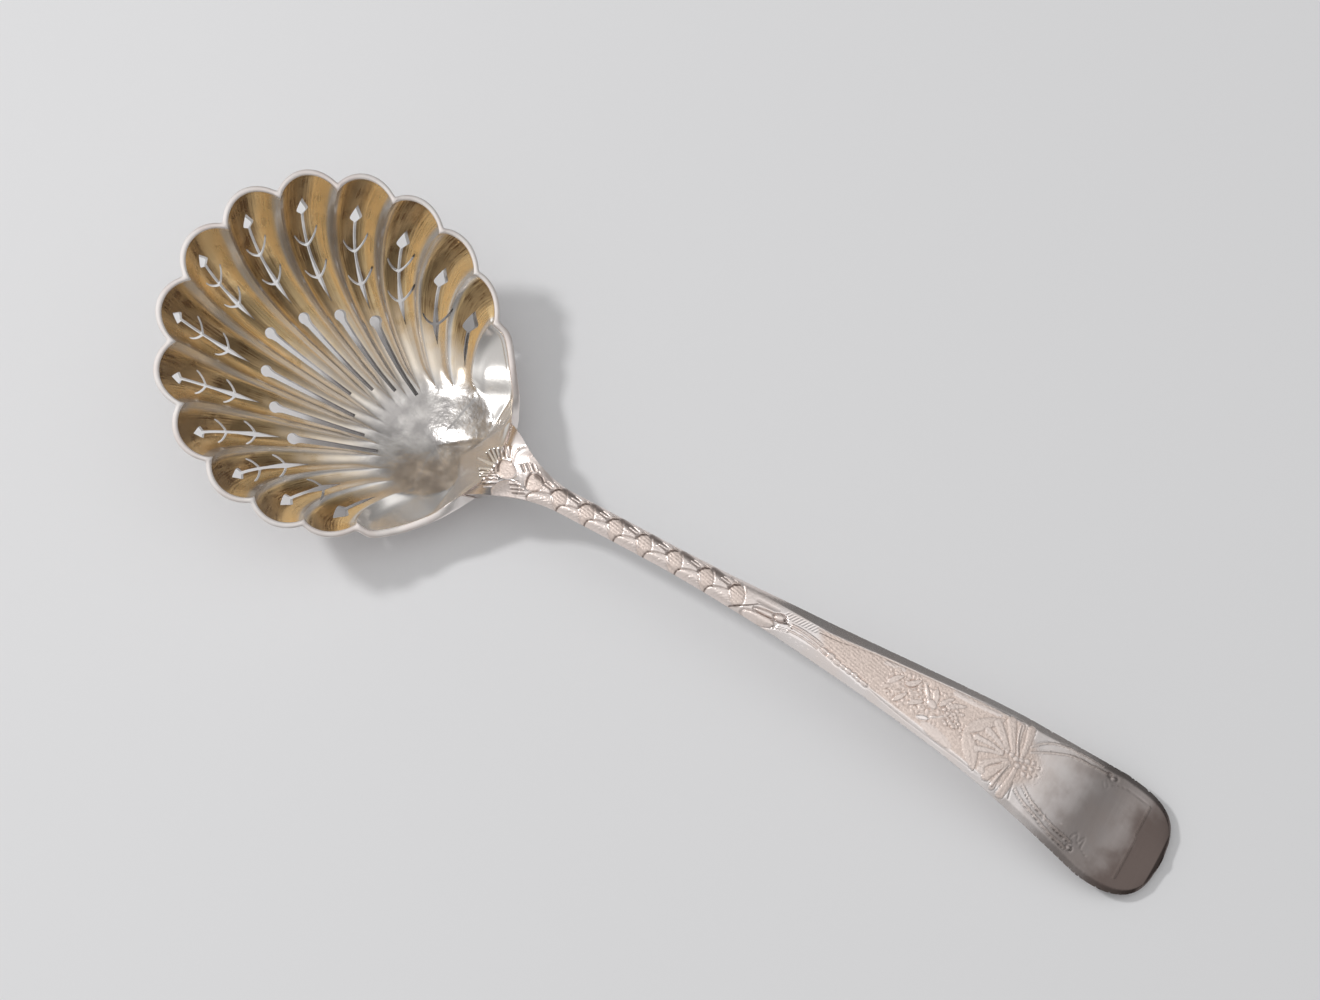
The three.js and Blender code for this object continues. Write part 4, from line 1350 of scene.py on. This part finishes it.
    def cartouche(self, face: Engraving) -> None:
        """Double ridges beside the bare field near the end, and its straight end line."""
        outer = [(94.7, 3.0), (96.3, 4.8), (98.4, 6.0), (101.5, 6.8), (105.9, 7.4)]
        inner = [(95.1, 2.2), (97.0, 3.6), (98.8, 4.7), (101.5, 5.9), (106.8, 6.8)]
        lower = [(95.5, -3.9), (97.4, -4.8), (100.5, -5.6), (103.0, -6.3), (106.6, -6.8)]
        nearer = [(96.3, -2.7), (98.4, -3.9), (100.5, -4.5), (103.6, -5.2), (106.8, -5.5)]
        for path, side in ((outer, 1), (inner, 1), (lower, -1), (nearer, -1)):
            shifted = [(x, y + 0.26 * side) for x, y in path]
            face.stroke(shifted, (0.24, 0.24), 0.08, 0.5)
            face.rib(path, (0.36, 0.36), 0.08)
        face.boss((107.3, 7.0), (0.3, 0.3), 0, -0.1, 0.0, shade=0.7)
        face.boss((108.2, 6.9), (0.5, 0.34), 20, 0.1, 0.0, shade=0.3)
        face.boss((107.1, -6.4), (0.42, 0.36), 0, 0.12, 0.1, shade=0.5)
        lines = (
            ([(106.9, 5.4), (107.5, 4.6), (107.9, 5.3), (107.3, 6.0)], 0.16, 0.04, 0.4),
            ([(106.5, -4.9), (107.2, -3.7), (107.8, -4.9), (108.5, -3.6), (108.6, -5.0)], 0.2, 0.05, 0.3),
            ([(108.2, -5.2), (109.4, -5.6), (110.4, -6.2)], 0.16, 0.04, 0.4),
            ([(108.4, 5.9), (109.9, 6.6), (112.0, 6.9), (114.9, 6.5)], 0.2, 0.05, 0.5),
        )
        for line, width, deep, dark in lines:
            face.stroke(line, (width, width), deep, dark)
        face.rib([(115.0, 6.5), (115.2, 0.0), (115.2, -6.2)], (0.24, 0.24), 0.07)


# The stem


@dataclass
class Stem:
    """The forged stem with its widening, turned-down handle end."""

    bowl: Bowl
    profile: tuple[Pair, ...] = (
        (14, 11.5), (36, 13.8), (60, 14.6), (79, 14.0), (90, 12.35), (97, 9.9), (104, 7.03), (112, 3.7),
    )
    length: float = 120.5
    half_width: float = 2.05
    end_half_width: float = 9.0
    flare: float = 14.0
    flare_power: float = 2.2
    widening_start: float = 31.0
    widening_power: float = 1.6
    end_round: float = 10.5
    end_squareness: float = 2.9
    thickness: float = 3.0
    end_thickness: float = 1.8
    crown: float = 0.3
    edge_roll: float = 0.8
    bevel_slope: float = 0.38
    rounding: float = 0.3
    narrowing: float = 0.06
    relief: Pair = (-0.25, 0.55)
    handle_start: Pair = (42.0, 56.0)
    roll_share: float = 0.55
    crease_angle: float = 50.0
    seam_gap: float = 0.3
    ornament_end: float = 98.0
    face_steps: int = 92
    back_steps: int = 10
    fine_stations: int = 820
    plain_stations: int = 70
    end_stations: int = 60

    def line(self) -> Array:
        """The face's middle line, from the seam to the handle's end, as X and Z."""
        slope = self.bowl.seam_slope - math.radians(self.bowl.tilt)
        along = np.array([math.cos(slope), math.sin(slope)])
        seam = self.bowl.seam_face()[[0, 2]]
        start = seam + along * self.seam_gap
        knots = [tuple(start), tuple(start + along * self.flare / 5)]
        knots += [(start[0] + distance, height) for distance, height in self.profile]
        knots.append((start[0] + self.length, self.end_thickness))
        return np.concatenate([[seam + along * 0.02], spline(knots, 200)])

    def half_width_at(self, distance: Array) -> Array:
        """Half the width at distances from the seam."""
        flare = clamp(1 - distance / self.flare) ** self.flare_power
        run = self.length - self.end_round - self.widening_start
        widening = clamp((distance - self.widening_start) / run) ** self.widening_power
        plain = self.half_width + (self.bowl.neck_half_width - self.half_width) * flare
        plain = plain + (self.end_half_width - self.half_width) * widening
        into = clamp((distance - self.length + self.end_round) / self.end_round)
        return plain * (1 - into**self.end_squareness) ** (1 / self.end_squareness)

    def thickness_at(self, distance: Array) -> Array:
        """Thickness at distances from the seam."""
        first = self.bowl.neck_thickness
        grown = first + (self.thickness - first) * smoothstep(distance, 0, self.flare)
        return grown + (self.end_thickness - grown) * smoothstep(distance, self.widening_start, self.length)

    def distances(self) -> Array:
        """Distances from the seam with a section, closest where the ornament is fine."""
        straight = self.length - self.end_round
        turns = np.linspace(0, math.pi / 2, self.end_stations, endpoint=False)
        fine = np.linspace(0, self.ornament_end, self.fine_stations, endpoint=False)
        plain = np.linspace(self.ornament_end, straight, self.plain_stations, endpoint=False)
        return np.concatenate([fine, plain, straight + self.end_round * np.sin(turns)])

    def edge(self, distance: Array, half: Array, across: Array) -> tuple[Array, Array]:
        """How the face falls off toward its edges.

        Args:
            distance: Distances from the seam, as a column.
            half: Half widths there, as a column.
            across: Shares of the half width.

        Returns:
            How far the face drops, and how much of the ornament's height is left, by point.
        """
        inset = np.minimum(half * (1 - np.abs(across)), self.length - distance)
        bevel = Ornament().bevel(distance)
        handle = smoothstep(distance, *self.handle_start)
        rolled = clamp(1 - inset / np.maximum(self.roll_share * half, 0.01))
        sloped = clamp(1 - inset / np.minimum(bevel, np.maximum(half, 0.01)))
        formed = smoothstep(distance, 0, self.flare) * np.minimum(1, half / self.half_width)
        drop = (1 - handle) * self.edge_roll * rolled**2 + handle * self.bevel_slope * bevel * sloped
        return drop * formed, 1 - rolled**6

    def sections(self) -> tuple[Array, Engraving]:
        """Sections of the stem with its ornament.

        Returns:
            The sections' points by station and place around, and the ornament's marks.
        """
        distance = self.distances()
        line = self.line()
        start = line[0, 0]
        x = start + distance * (line[-1, 0] - start) / self.length
        z = np.interp(x, line[:, 0], line[:, 1])
        tangent = unit(np.column_stack([np.gradient(x), np.gradient(z)]))
        half, thick = self.half_width_at(distance)[:, None], self.thickness_at(distance)[:, None]
        formed = smoothstep(distance, 0, self.flare)[:, None]
        near_seam = clamp(1 - distance / self.flare)[:, None]
        trough = self.bowl.neck_trough * near_seam**self.flare_power

        across = np.linspace(-1, 1, self.face_steps + 1)[None, :]
        slender = np.minimum(1, half / self.half_width)
        drop, settled = self.edge(distance[:, None], half, across)
        shape = drop.shape
        marks = Engraving(np.broadcast_to(distance[:, None], shape).copy(), half * across)
        Ornament().carve(marks, np.broadcast_to(half, shape))
        relief = np.clip(marks.height, *self.relief).reshape(shape) * settled
        face_rise = (trough - self.crown * formed * slender) * across**2 - drop + relief

        behind = np.linspace(1, -1, self.back_steps + 1)[None, 1:-1]
        rounding = self.rounding * formed * thick * np.abs(behind) ** 3
        back_rise = trough * behind**2 - thick + rounding
        back_y = half * (1 - self.narrowing * formed) * behind

        rise = np.concatenate([face_rise, back_rise], axis=1)
        y = np.concatenate([half * across, back_y], axis=1)
        along, up = x[:, None] - tangent[:, 1:] * rise, z[:, None] + tangent[:, :1] * rise
        return np.stack([along, y, up], axis=-1), marks

    def build(self) -> Piece:
        """Shape the stem and dress it."""
        points, marks = self.sections()
        first = (points[0, self.face_steps // 2] + points[0, self.face_steps + self.back_steps // 2]) / 2
        rings = with_ends(points, first, points[-1].mean(0))
        stem = closed_skin("forged_stem", rings * MM)
        covered = (slice(1, -1), slice(0, self.face_steps + 1))
        values = {"engraving": marks.cut, "matting": marks.matting, "hatching": marks.hatching}
        keep_values(stem, rings.shape[:2], covered, values)
        stem.data.materials.append(EngravedSilver().build())
        smooth(stem, self.crease_angle)
        return stem


@dataclass
class HeelDrop:
    """The rounded drop that laps the seam from behind."""

    bowl: Bowl
    metal: tuple[Piece, ...]
    ahead: float = 9.0
    behind: float = 9.5
    half_width: float = 4.2
    end_half_width: float = 1.3
    thickness: float = 1.1
    sunk: float = 0.12
    edge: float = 0.02
    end_least: float = 0.02
    end_growth: float = 1.6
    behind_power: float = 1.5
    swell_power: float = 2.4
    eye_height: float = -0.02
    crease_angle: float = 40.0
    stations: int = 40
    ribs: int = 20

    def underside(self, x: float, y: float) -> float:
        """Height in millimetres of the metal over one spot, seen from below."""
        heights = []
        for piece in self.metal:
            hit, spot, _, _ = piece.ray_cast(Vector((x * MM, y * MM, self.eye_height)), Vector((0, 0, 1)))
            if hit:
                heights.append(spot.z / MM)
        return min(heights)

    def build(self) -> Piece:
        """Shape the drop against the metal above it."""
        seam = float(self.bowl.to_table(self.bowl.seam_point(np.array(0.0)))[0])
        rings = []
        for way in -np.cos(np.linspace(0, math.pi, self.stations)):
            ahead = way < 0
            x = seam + way * (self.ahead if ahead else self.behind)
            round_share = math.sqrt(max(0.0, 1 - way * way))
            end = self.end_half_width * min(1.0, self.end_least + self.end_growth * round_share)
            share = round_share if ahead else (1 - way) ** self.behind_power
            half = end + (self.half_width - end) * share
            upper, lower = [], []
            for across in np.linspace(-1, 1, self.ribs + 1):
                top = self.underside(x, half * across)
                swell = self.thickness * round_share * (1 - abs(across) ** self.swell_power)
                upper.append((x, half * across, top + self.sunk))
                lower.append((x, half * across, top - self.edge - swell))
            rings.append(upper + lower[::-1])
        points = np.array(rings)
        closed = with_ends(points, points[0].mean(0), points[-1].mean(0))
        drop = closed_skin("drop_behind_joint", closed * MM)
        drop.data.materials.append(PlainSilver("drop_silver").build())
        smooth(drop, self.crease_angle)
        return drop


# Finishes


class Value:
    """A number in a finish, with Python's own operators."""

    def __init__(self, finish: "Finish", socket: Socket) -> None:
        """Keep the socket and the finish that it is in."""
        self.finish = finish
        self.socket = socket

    def maths(self, operation: str, *others: Any) -> "Value":
        """The result of one Math node on this number and others."""
        return self.finish.maths(operation, self, *others)

    def __rsub__(self, other: Any) -> "Value":
        """Difference from a number."""
        return self.finish.maths("SUBTRACT", other, self)

    __add__ = __radd__ = partialmethod(maths, "ADD")
    __sub__ = partialmethod(maths, "SUBTRACT")
    __mul__ = __rmul__ = partialmethod(maths, "MULTIPLY")
    __pow__ = partialmethod(maths, "POWER")
    __abs__ = partialmethod(maths, "ABSOLUTE")


@dataclass
class Finish:
    """A metal finish. Its methods make the nodes of one material."""

    name: str = "silver"
    roughness: float = 0.17
    scratch_scale: float = 900.0
    scratch_height: float = 0.000012
    tree: bpy.types.NodeTree | None = field(init=False, default=None)

    def start(self) -> bpy.types.Material:
        """A new material with its shader alone."""
        made = bpy.data.materials.new(self.name)
        made.use_nodes = True
        self.tree = made.node_tree
        return made

    def node(self, kind: str, settings: dict[str, Any], values: dict[Any, Any]) -> bpy.types.Node:
        """Make one node.

        Args:
            kind: The node's type.
            settings: Its properties, which are set first.
            values: Numbers, colours, sockets or values for its inputs, by name or index.

        Returns:
            The node.
        """
        made = self.tree.nodes.new(kind)
        for name, setting in settings.items():
            setattr(made, name, setting)
        for name, value in values.items():
            self.feed(made.inputs[name], value)
        return made

    def feed(self, socket: Socket, value: Any) -> None:
        """Link a value to a socket, or set the socket to a constant."""
        if isinstance(value, Value):
            value = value.socket
        if isinstance(value, Socket):
            self.tree.links.new(value, socket)
        elif isinstance(value, tuple) and len(value) == 3 and socket.type == "RGBA":
            socket.default_value = (*value, 1)
        else:
            socket.default_value = value

    def maths(self, operation: str, *inputs: Any) -> Value:
        """The result of one Math node."""
        made = self.node("ShaderNodeMath", {"operation": operation}, dict(enumerate(inputs)))
        return Value(self, made.outputs[0])

    def step(self, value: Any, low: float, high: float) -> Value:
        """Ease from 0 at low to 1 at high."""
        made = self.node(
            "ShaderNodeMapRange",
            {"interpolation_type": "SMOOTHSTEP"},
            {"Value": value, "From Min": low, "From Max": high},
        )
        return Value(self, made.outputs["Result"])

    def blend(self, factor: Any, first: Any, second: Any) -> Socket:
        """Mix two colours."""
        made = self.node("ShaderNodeMix", {"data_type": "RGBA"}, {"Factor": factor, 6: first, 7: second})
        return made.outputs[2]

    def place(self) -> Socket:
        """Places on the piece, in metres."""
        return self.node("ShaderNodeTexCoord", {}, {}).outputs["Object"]

    def apart(self, vector: Any) -> list[Value]:
        """The three numbers of a vector."""
        return [Value(self, out) for out in self.node("ShaderNodeSeparateXYZ", {}, {0: vector}).outputs]

    def noise(self, scale: float, detail: float, stretch: Triple = (1, 1, 1), place: Any = None) -> Value:
        """Soft noise over the piece.

        Args:
            scale: How many of its waves a unit of place has.
            detail: How much finer waves are in it.
            stretch: Factors on the places.
            place: Places to read it at, or none for the piece's own.

        Returns:
            The noise, from 0 to 1.
        """
        vector = self.place() if place is None else place
        turned = self.node("ShaderNodeMapping", {}, {"Vector": vector, "Scale": stretch}).outputs[0]
        made = self.node("ShaderNodeTexNoise", {}, {"Vector": turned, "Scale": scale, "Detail": detail})
        return Value(self, made.outputs["Fac"])

    def attribute(self, name: str) -> Value:
        """A number that the mesh holds at each point."""
        return Value(self, self.node("ShaderNodeAttribute", {"attribute_name": name}, {}).outputs["Fac"])

    def scratches(self) -> Value:
        """Fine wear that crosses itself."""
        first = self.noise(self.scratch_scale, 2, (0.1, 1.4, 1.0))
        second = self.noise(self.scratch_scale, 2, (1.2, 0.12, 1.0))
        return first + second

    def polish(self, colour: Any, roughness: Any, height: Value, metal: Any = 1.0) -> None:
        """Set the shader's metal.

        Args:
            colour: Its base colour.
            roughness: Its roughness.
            height: Height for the bump, in shares of the scratches' height.
            metal: How far it shines as bare metal does.
        """
        shader = self.tree.nodes["Principled BSDF"]
        self.feed(shader.inputs["Metallic"], metal)
        bump = {"Height": height, "Distance": self.scratch_height, "Strength": 1.0}
        self.feed(shader.inputs["Base Color"], colour)
        self.feed(shader.inputs["Roughness"], roughness)
        self.feed(shader.inputs["Normal"], self.node("ShaderNodeBump", {}, bump).outputs[0])


@dataclass
class PlainSilver(Finish):
    """Silver with a light film and fine scratches."""

    colour: Triple = (0.96, 0.91, 0.88)
    film: Triple = (0.88, 0.79, 0.75)
    film_scale: float = 160
    film_edge: Pair = (0.35, 0.7)
    roughness: float = 0.27
    metal: float = 0.86

    def build(self) -> bpy.types.Material:
        """Make the material."""
        made = self.start()
        cloud = self.step(self.noise(self.film_scale, 3), *self.film_edge)
        wear = self.scratches()
        colour = self.blend(cloud, self.colour, self.film)
        self.polish(colour, self.roughness + 0.08 * wear, wear, self.metal)
        return made


@dataclass
class GiltSilver(Finish):
    """Silver with gold over the outer part of each flute, worn off the ridges, with brown dirt, and painted
    shade on one side of each flute's floor.

    Pairs are where something starts, and where it is whole.
    """

    name: str = "gilt_flutes"
    colour: Triple = (0.8, 0.77, 0.74)
    roughness: float = 0.15
    gold: Triple = (0.98, 0.72, 0.38)
    # Brown of the dirt, and of the painted shade on the flute floors.
    dirt_and_shade_brown: Triple = (0.19, 0.11, 0.05)
    # How far the painted shade is shifted toward one side of each flute, in lobes.
    shaded_side_shift: float = 0.13
    worn: Triple = (0.42, 0.4, 0.39)
    recess: Triple = (0.2, 0.14, 0.1)
    cream: Triple = (0.93, 0.84, 0.72)
    roundness: float = 0.68
    cloud_scale: float = 330
    dent_scale: float = 900
    streaks: Triple = (260, 9, 1)
    thin_gold: Pair = (0.02, 0.16)
    thick_gold: Pair = (0.16, 0.46)
    last_lobe: Pair = (6.46, 6.54)
    worn_crest: Pair = (0.42, 0.7)
    dirt: Pair = (0.46, 0.68)
    painted_shade_depth: Pair = (0.5, 0.95)
    painted_shade_share: Pair = (0.1, 0.5)
    hub_end: Pair = (-0.05, 0.2)
    hub_clouds: Pair = (0.35, 0.8)
    dents_end: Pair = (0.0, 0.12)
    engraved: Pair = (0.15, 0.95)

    def build(self) -> bpy.types.Material:
        """Make the material."""
        made = self.start()
        places = self.node("ShaderNodeUVMap", {"uv_map": FLUTE_MAP}, {}).outputs[0]
        raw_place, raw_share, _ = self.apart(places)
        place, share = raw_place * MAP_LOBES, raw_share * 2 - 1
        turned = place * math.pi
        wave = abs(turned.maths("COSINE"))
        crest = 1 - wave**self.roundness
        cloud = self.noise(self.cloud_scale, 3)
        streak = self.noise(1, 3, self.streaks, places)
        thin = self.step(share, *self.thin_gold)
        thick = self.step(share + (cloud - 0.5) * 0.3, *self.thick_gold)
        on_lobes = 1 - self.step(place, *self.last_lobe)
        kept = 1 - self.step(crest + (streak - 0.5) * 0.35, *self.worn_crest)
        gilding = (0.3 * thin + 0.7 * thick) * on_lobes * kept
        dirt = self.step(0.5 * streak + 0.5 * cloud, *self.dirt) * gilding
        # Painted shade: one side of each flute's floor, shifted as set above, is darkened toward brown.
        aside = turned + self.shaded_side_shift * math.pi
        deep = abs(aside.maths("COSINE")) + (streak - 0.5) * 0.6
        painted_flute_shade = self.step(deep, *self.painted_shade_depth) * self.step(share, *self.painted_shade_share) * on_lobes
        hub = (1 - self.step(share, *self.hub_end)) * self.step(cloud + 0.3 * streak, *self.hub_clouds)
        metal = self.blend(gilding, self.blend(hub, self.colour, self.worn), self.gold)
        # Brown dirt clouds, together with the painted shade on the flute floors.
        dark = 0.35 * dirt + 0.75 * painted_flute_shade
        toned = self.blend(dark, metal, self.dirt_and_shade_brown)
        cut = self.step(self.attribute("engraving"), *self.engraved)
        wear = self.scratches()
        dents = (1 - self.step(share, *self.dents_end)) * self.noise(self.dent_scale, 3)
        dull = self.attribute("matting")
        # The recess colour darkens the neck's cuts as tarnish, and the grooves and the comb's ground as
        # painted shade.
        worked = self.blend(dull, self.blend(cut * 0.85, toned, self.recess), self.cream)
        rough = self.roughness + 0.12 * dirt + 0.06 * wear + 0.3 * dull
        self.polish(worked, rough, wear + 5 * dents + 2 * dirt * streak, 0.75 - 0.45 * dull)
        return made


@dataclass
class EngravedSilver(Finish):
    """Silver with dark engraving, hatched scales, a field dulled with a punch, and a painted dark
    reflection toward the handle's end.
    """

    name: str = "engraved_stem"
    colour: Triple = (0.92, 0.86, 0.84)
    warm: Triple = (0.92, 0.77, 0.69)
    recess: Triple = (0.13, 0.09, 0.075)
    painted_dark_reflection: Triple = (0.13, 0.1, 0.09)
    hatch_width: float = 0.0005
    hatch_turn: float = -12.0
    engraved: Pair = (0.12, 0.95)
    pit_scale: float = 2400
    pits: Pair = (0.4, 0.6)
    film_scale: float = 220
    film_edge: Pair = (0.35, 0.75)
    dark_reflection_start: Pair = (0.064, 0.0735)
    dark_reflection_end: Pair = (0.077, 0.083)

    def build(self) -> bpy.types.Material:
        """Make the material."""
        made = self.start()
        cut = self.step(self.attribute("engraving"), *self.engraved)
        dull = self.attribute("matting")
        turn = math.radians(self.hatch_turn)
        along, across, _ = self.apart(self.place())
        sweep = (across * math.cos(turn) - along * math.sin(turn)) * (2 * math.pi / self.hatch_width)
        lines = (0.5 + 0.5 * sweep.maths("SINE")) * self.attribute("hatching")
        pits = self.step(self.noise(self.pit_scale, 1), *self.pits) * dull
        film = self.step(self.noise(self.film_scale, 3), *self.film_edge)
        wear = self.scratches()
        metal = self.blend(0.35 * film, self.colour, self.warm)
        # Painted reflection: past a slanted line toward the handle's end the colour darkens, as if the
        # metal mirrored a dark room.
        dark_reflection_reach = along + (film - 0.5) * 0.0025 - across * 0.2
        grown = 0.7 * self.step(dark_reflection_reach, *self.dark_reflection_start) + 0.28 * self.step(dark_reflection_reach, *self.dark_reflection_end)
        toned = self.blend(grown, self.blend(dull, metal, self.warm), self.painted_dark_reflection)
        # The recess colour: tarnish in the cuts and hatching, and painted shadow in the grooves, the shadow
        # strokes and the comb's ground.
        hollow = 0.85 * cut + 0.22 * lines + 0.15 * (1 - pits) * dull
        colour = self.blend(hollow.maths("MINIMUM", 1.0), toned, self.recess)
        rough = self.roughness + 0.3 * dull + 0.15 * cut + 0.06 * wear
        self.polish(colour, rough, wear + 3 * pits - 3 * lines, 1 - 0.62 * dull)
        return made


@dataclass
class Room(Finish):
    """The soft room round the spoon, with a light ceiling and one light wall."""

    name: str = "studio"
    wall_way: Triple = (-0.62, -0.68, 0.39)
    ceiling_way: Triple = (0.25, 0.1, 0.96)
    level: float = 0.15
    wall: float = 0.44
    ceiling: float = 0.94
    wall_focus: float = 1.5
    ceiling_focus: float = 4.0

    def toward(self, way: Triple) -> Value:
        """How nearly a direction of the room is a given one, from 0 to 1."""
        direction = self.node("ShaderNodeTexCoord", {}, {}).outputs["Generated"]
        made = self.node("ShaderNodeVectorMath", {"operation": "DOT_PRODUCT"}, {0: direction, 1: way})
        return Value(self, made.outputs["Value"]).maths("MAXIMUM", 0)

    def build(self) -> bpy.types.World:
        """Make the world."""
        world = bpy.data.worlds.new(self.name)
        world.use_nodes = True
        self.tree = world.node_tree
        wall = self.wall * self.toward(self.wall_way) ** self.wall_focus
        ceiling = self.ceiling * self.toward(self.ceiling_way) ** self.ceiling_focus
        background = self.tree.nodes["Background"]
        self.feed(background.inputs["Color"], (1.0, 1.0, 1.0))
        self.feed(background.inputs["Strength"], self.level + wall + ceiling)
        return world


# The studio


@dataclass
class Studio:
    """Pale table, one soft lamp, the room and the camera where the photograph was taken."""

    bowl: Bowl
    camera_from_rim: Triple = (113.708, -105.749, 346.728)
    camera_turn: Triple = (19.903, -1.11, 30.902)
    lens: float = 65.45
    sensor: float = 36
    nearest: float = 0.01
    table_size: float = 6
    table_colour: Triple = (0.8, 0.8, 0.81)
    table_roughness: float = 0.7
    lamp_place: Triple = (-0.82, -0.14, 0.76)
    lamp_size: float = 0.11
    lamp_watts: float = 4.6

    def hang(self, name: str, data: bpy.types.ID, place: Triple) -> Piece:
        """Put a camera or a lamp at a place in the room."""
        made = bpy.data.objects.new(name, data)
        bpy.context.scene.collection.objects.link(made)
        made.location = place
        return made

    def place_camera(self) -> None:
        """Put the camera at the photograph's viewpoint."""
        data = bpy.data.cameras.new("camera")
        data.lens = self.lens
        data.sensor_width = self.sensor
        data.clip_start = self.nearest
        place = np.array(self.camera_from_rim) + self.bowl.shift
        camera = self.hang("camera", data, Vector(place * MM))
        camera.rotation_euler = [math.radians(turn) for turn in self.camera_turn]
        bpy.context.scene.camera = camera

    def lay_table(self) -> None:
        """A wide pale table top."""
        deselect()
        bpy.ops.mesh.primitive_plane_add(size=self.table_size)
        table = bpy.context.object
        table.name = "table"
        made = bpy.data.materials.new("pale_table")
        made.use_nodes = True
        shader = made.node_tree.nodes["Principled BSDF"]
        shader.inputs["Base Color"].default_value = (*self.table_colour, 1)
        shader.inputs["Roughness"].default_value = self.table_roughness
        table.data.materials.append(made)
        table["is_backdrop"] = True

    def light(self) -> None:
        """One soft square lamp that faces the spoon, and a room that is darker on one side."""
        data = bpy.data.lights.new("key", "AREA")
        data.shape = "SQUARE"
        data.size = self.lamp_size
        data.energy = self.lamp_watts
        lamp = self.hang("key", data, self.lamp_place)
        lamp.rotation_euler = (-Vector(self.lamp_place)).to_track_quat("-Z", "Y").to_euler()
        bpy.context.scene.world = Room().build()
        bpy.context.scene.view_settings.view_transform = "Standard"

    def build(self) -> None:
        """Set up all of it."""
        self.lay_table()
        self.light()
        self.place_camera()


def report(piece: Piece, part: Part) -> None:
    """Hand one finished piece to the frame and log it.

    Args:
        piece: The finished mesh object.
        part: The node that it stands for.
    """
    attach(piece, "root")
    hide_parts(part.value)
    log.info("%s: %d faces", piece.name, len(piece.data.polygons))


def corners() -> list[list[float]]:
    """The shown object's lowest and highest corner."""
    return [list(corner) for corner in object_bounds()]


def main() -> None:
    """Build the spoon and its studio."""
    logging.basicConfig(level=logging.INFO)
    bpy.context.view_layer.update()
    bowl = Bowl()
    shell = bowl.build()
    smooth(shell, bowl.crease_angle)
    report(shell, Part.BOWL)
    stem = Stem(bowl).build()
    report(stem, Part.STEM)
    drop = HeelDrop(bowl, (shell, stem)).build()
    report(drop, Part.DROP)
    Studio(bowl).build()


if __name__ == "__main__":
    main()
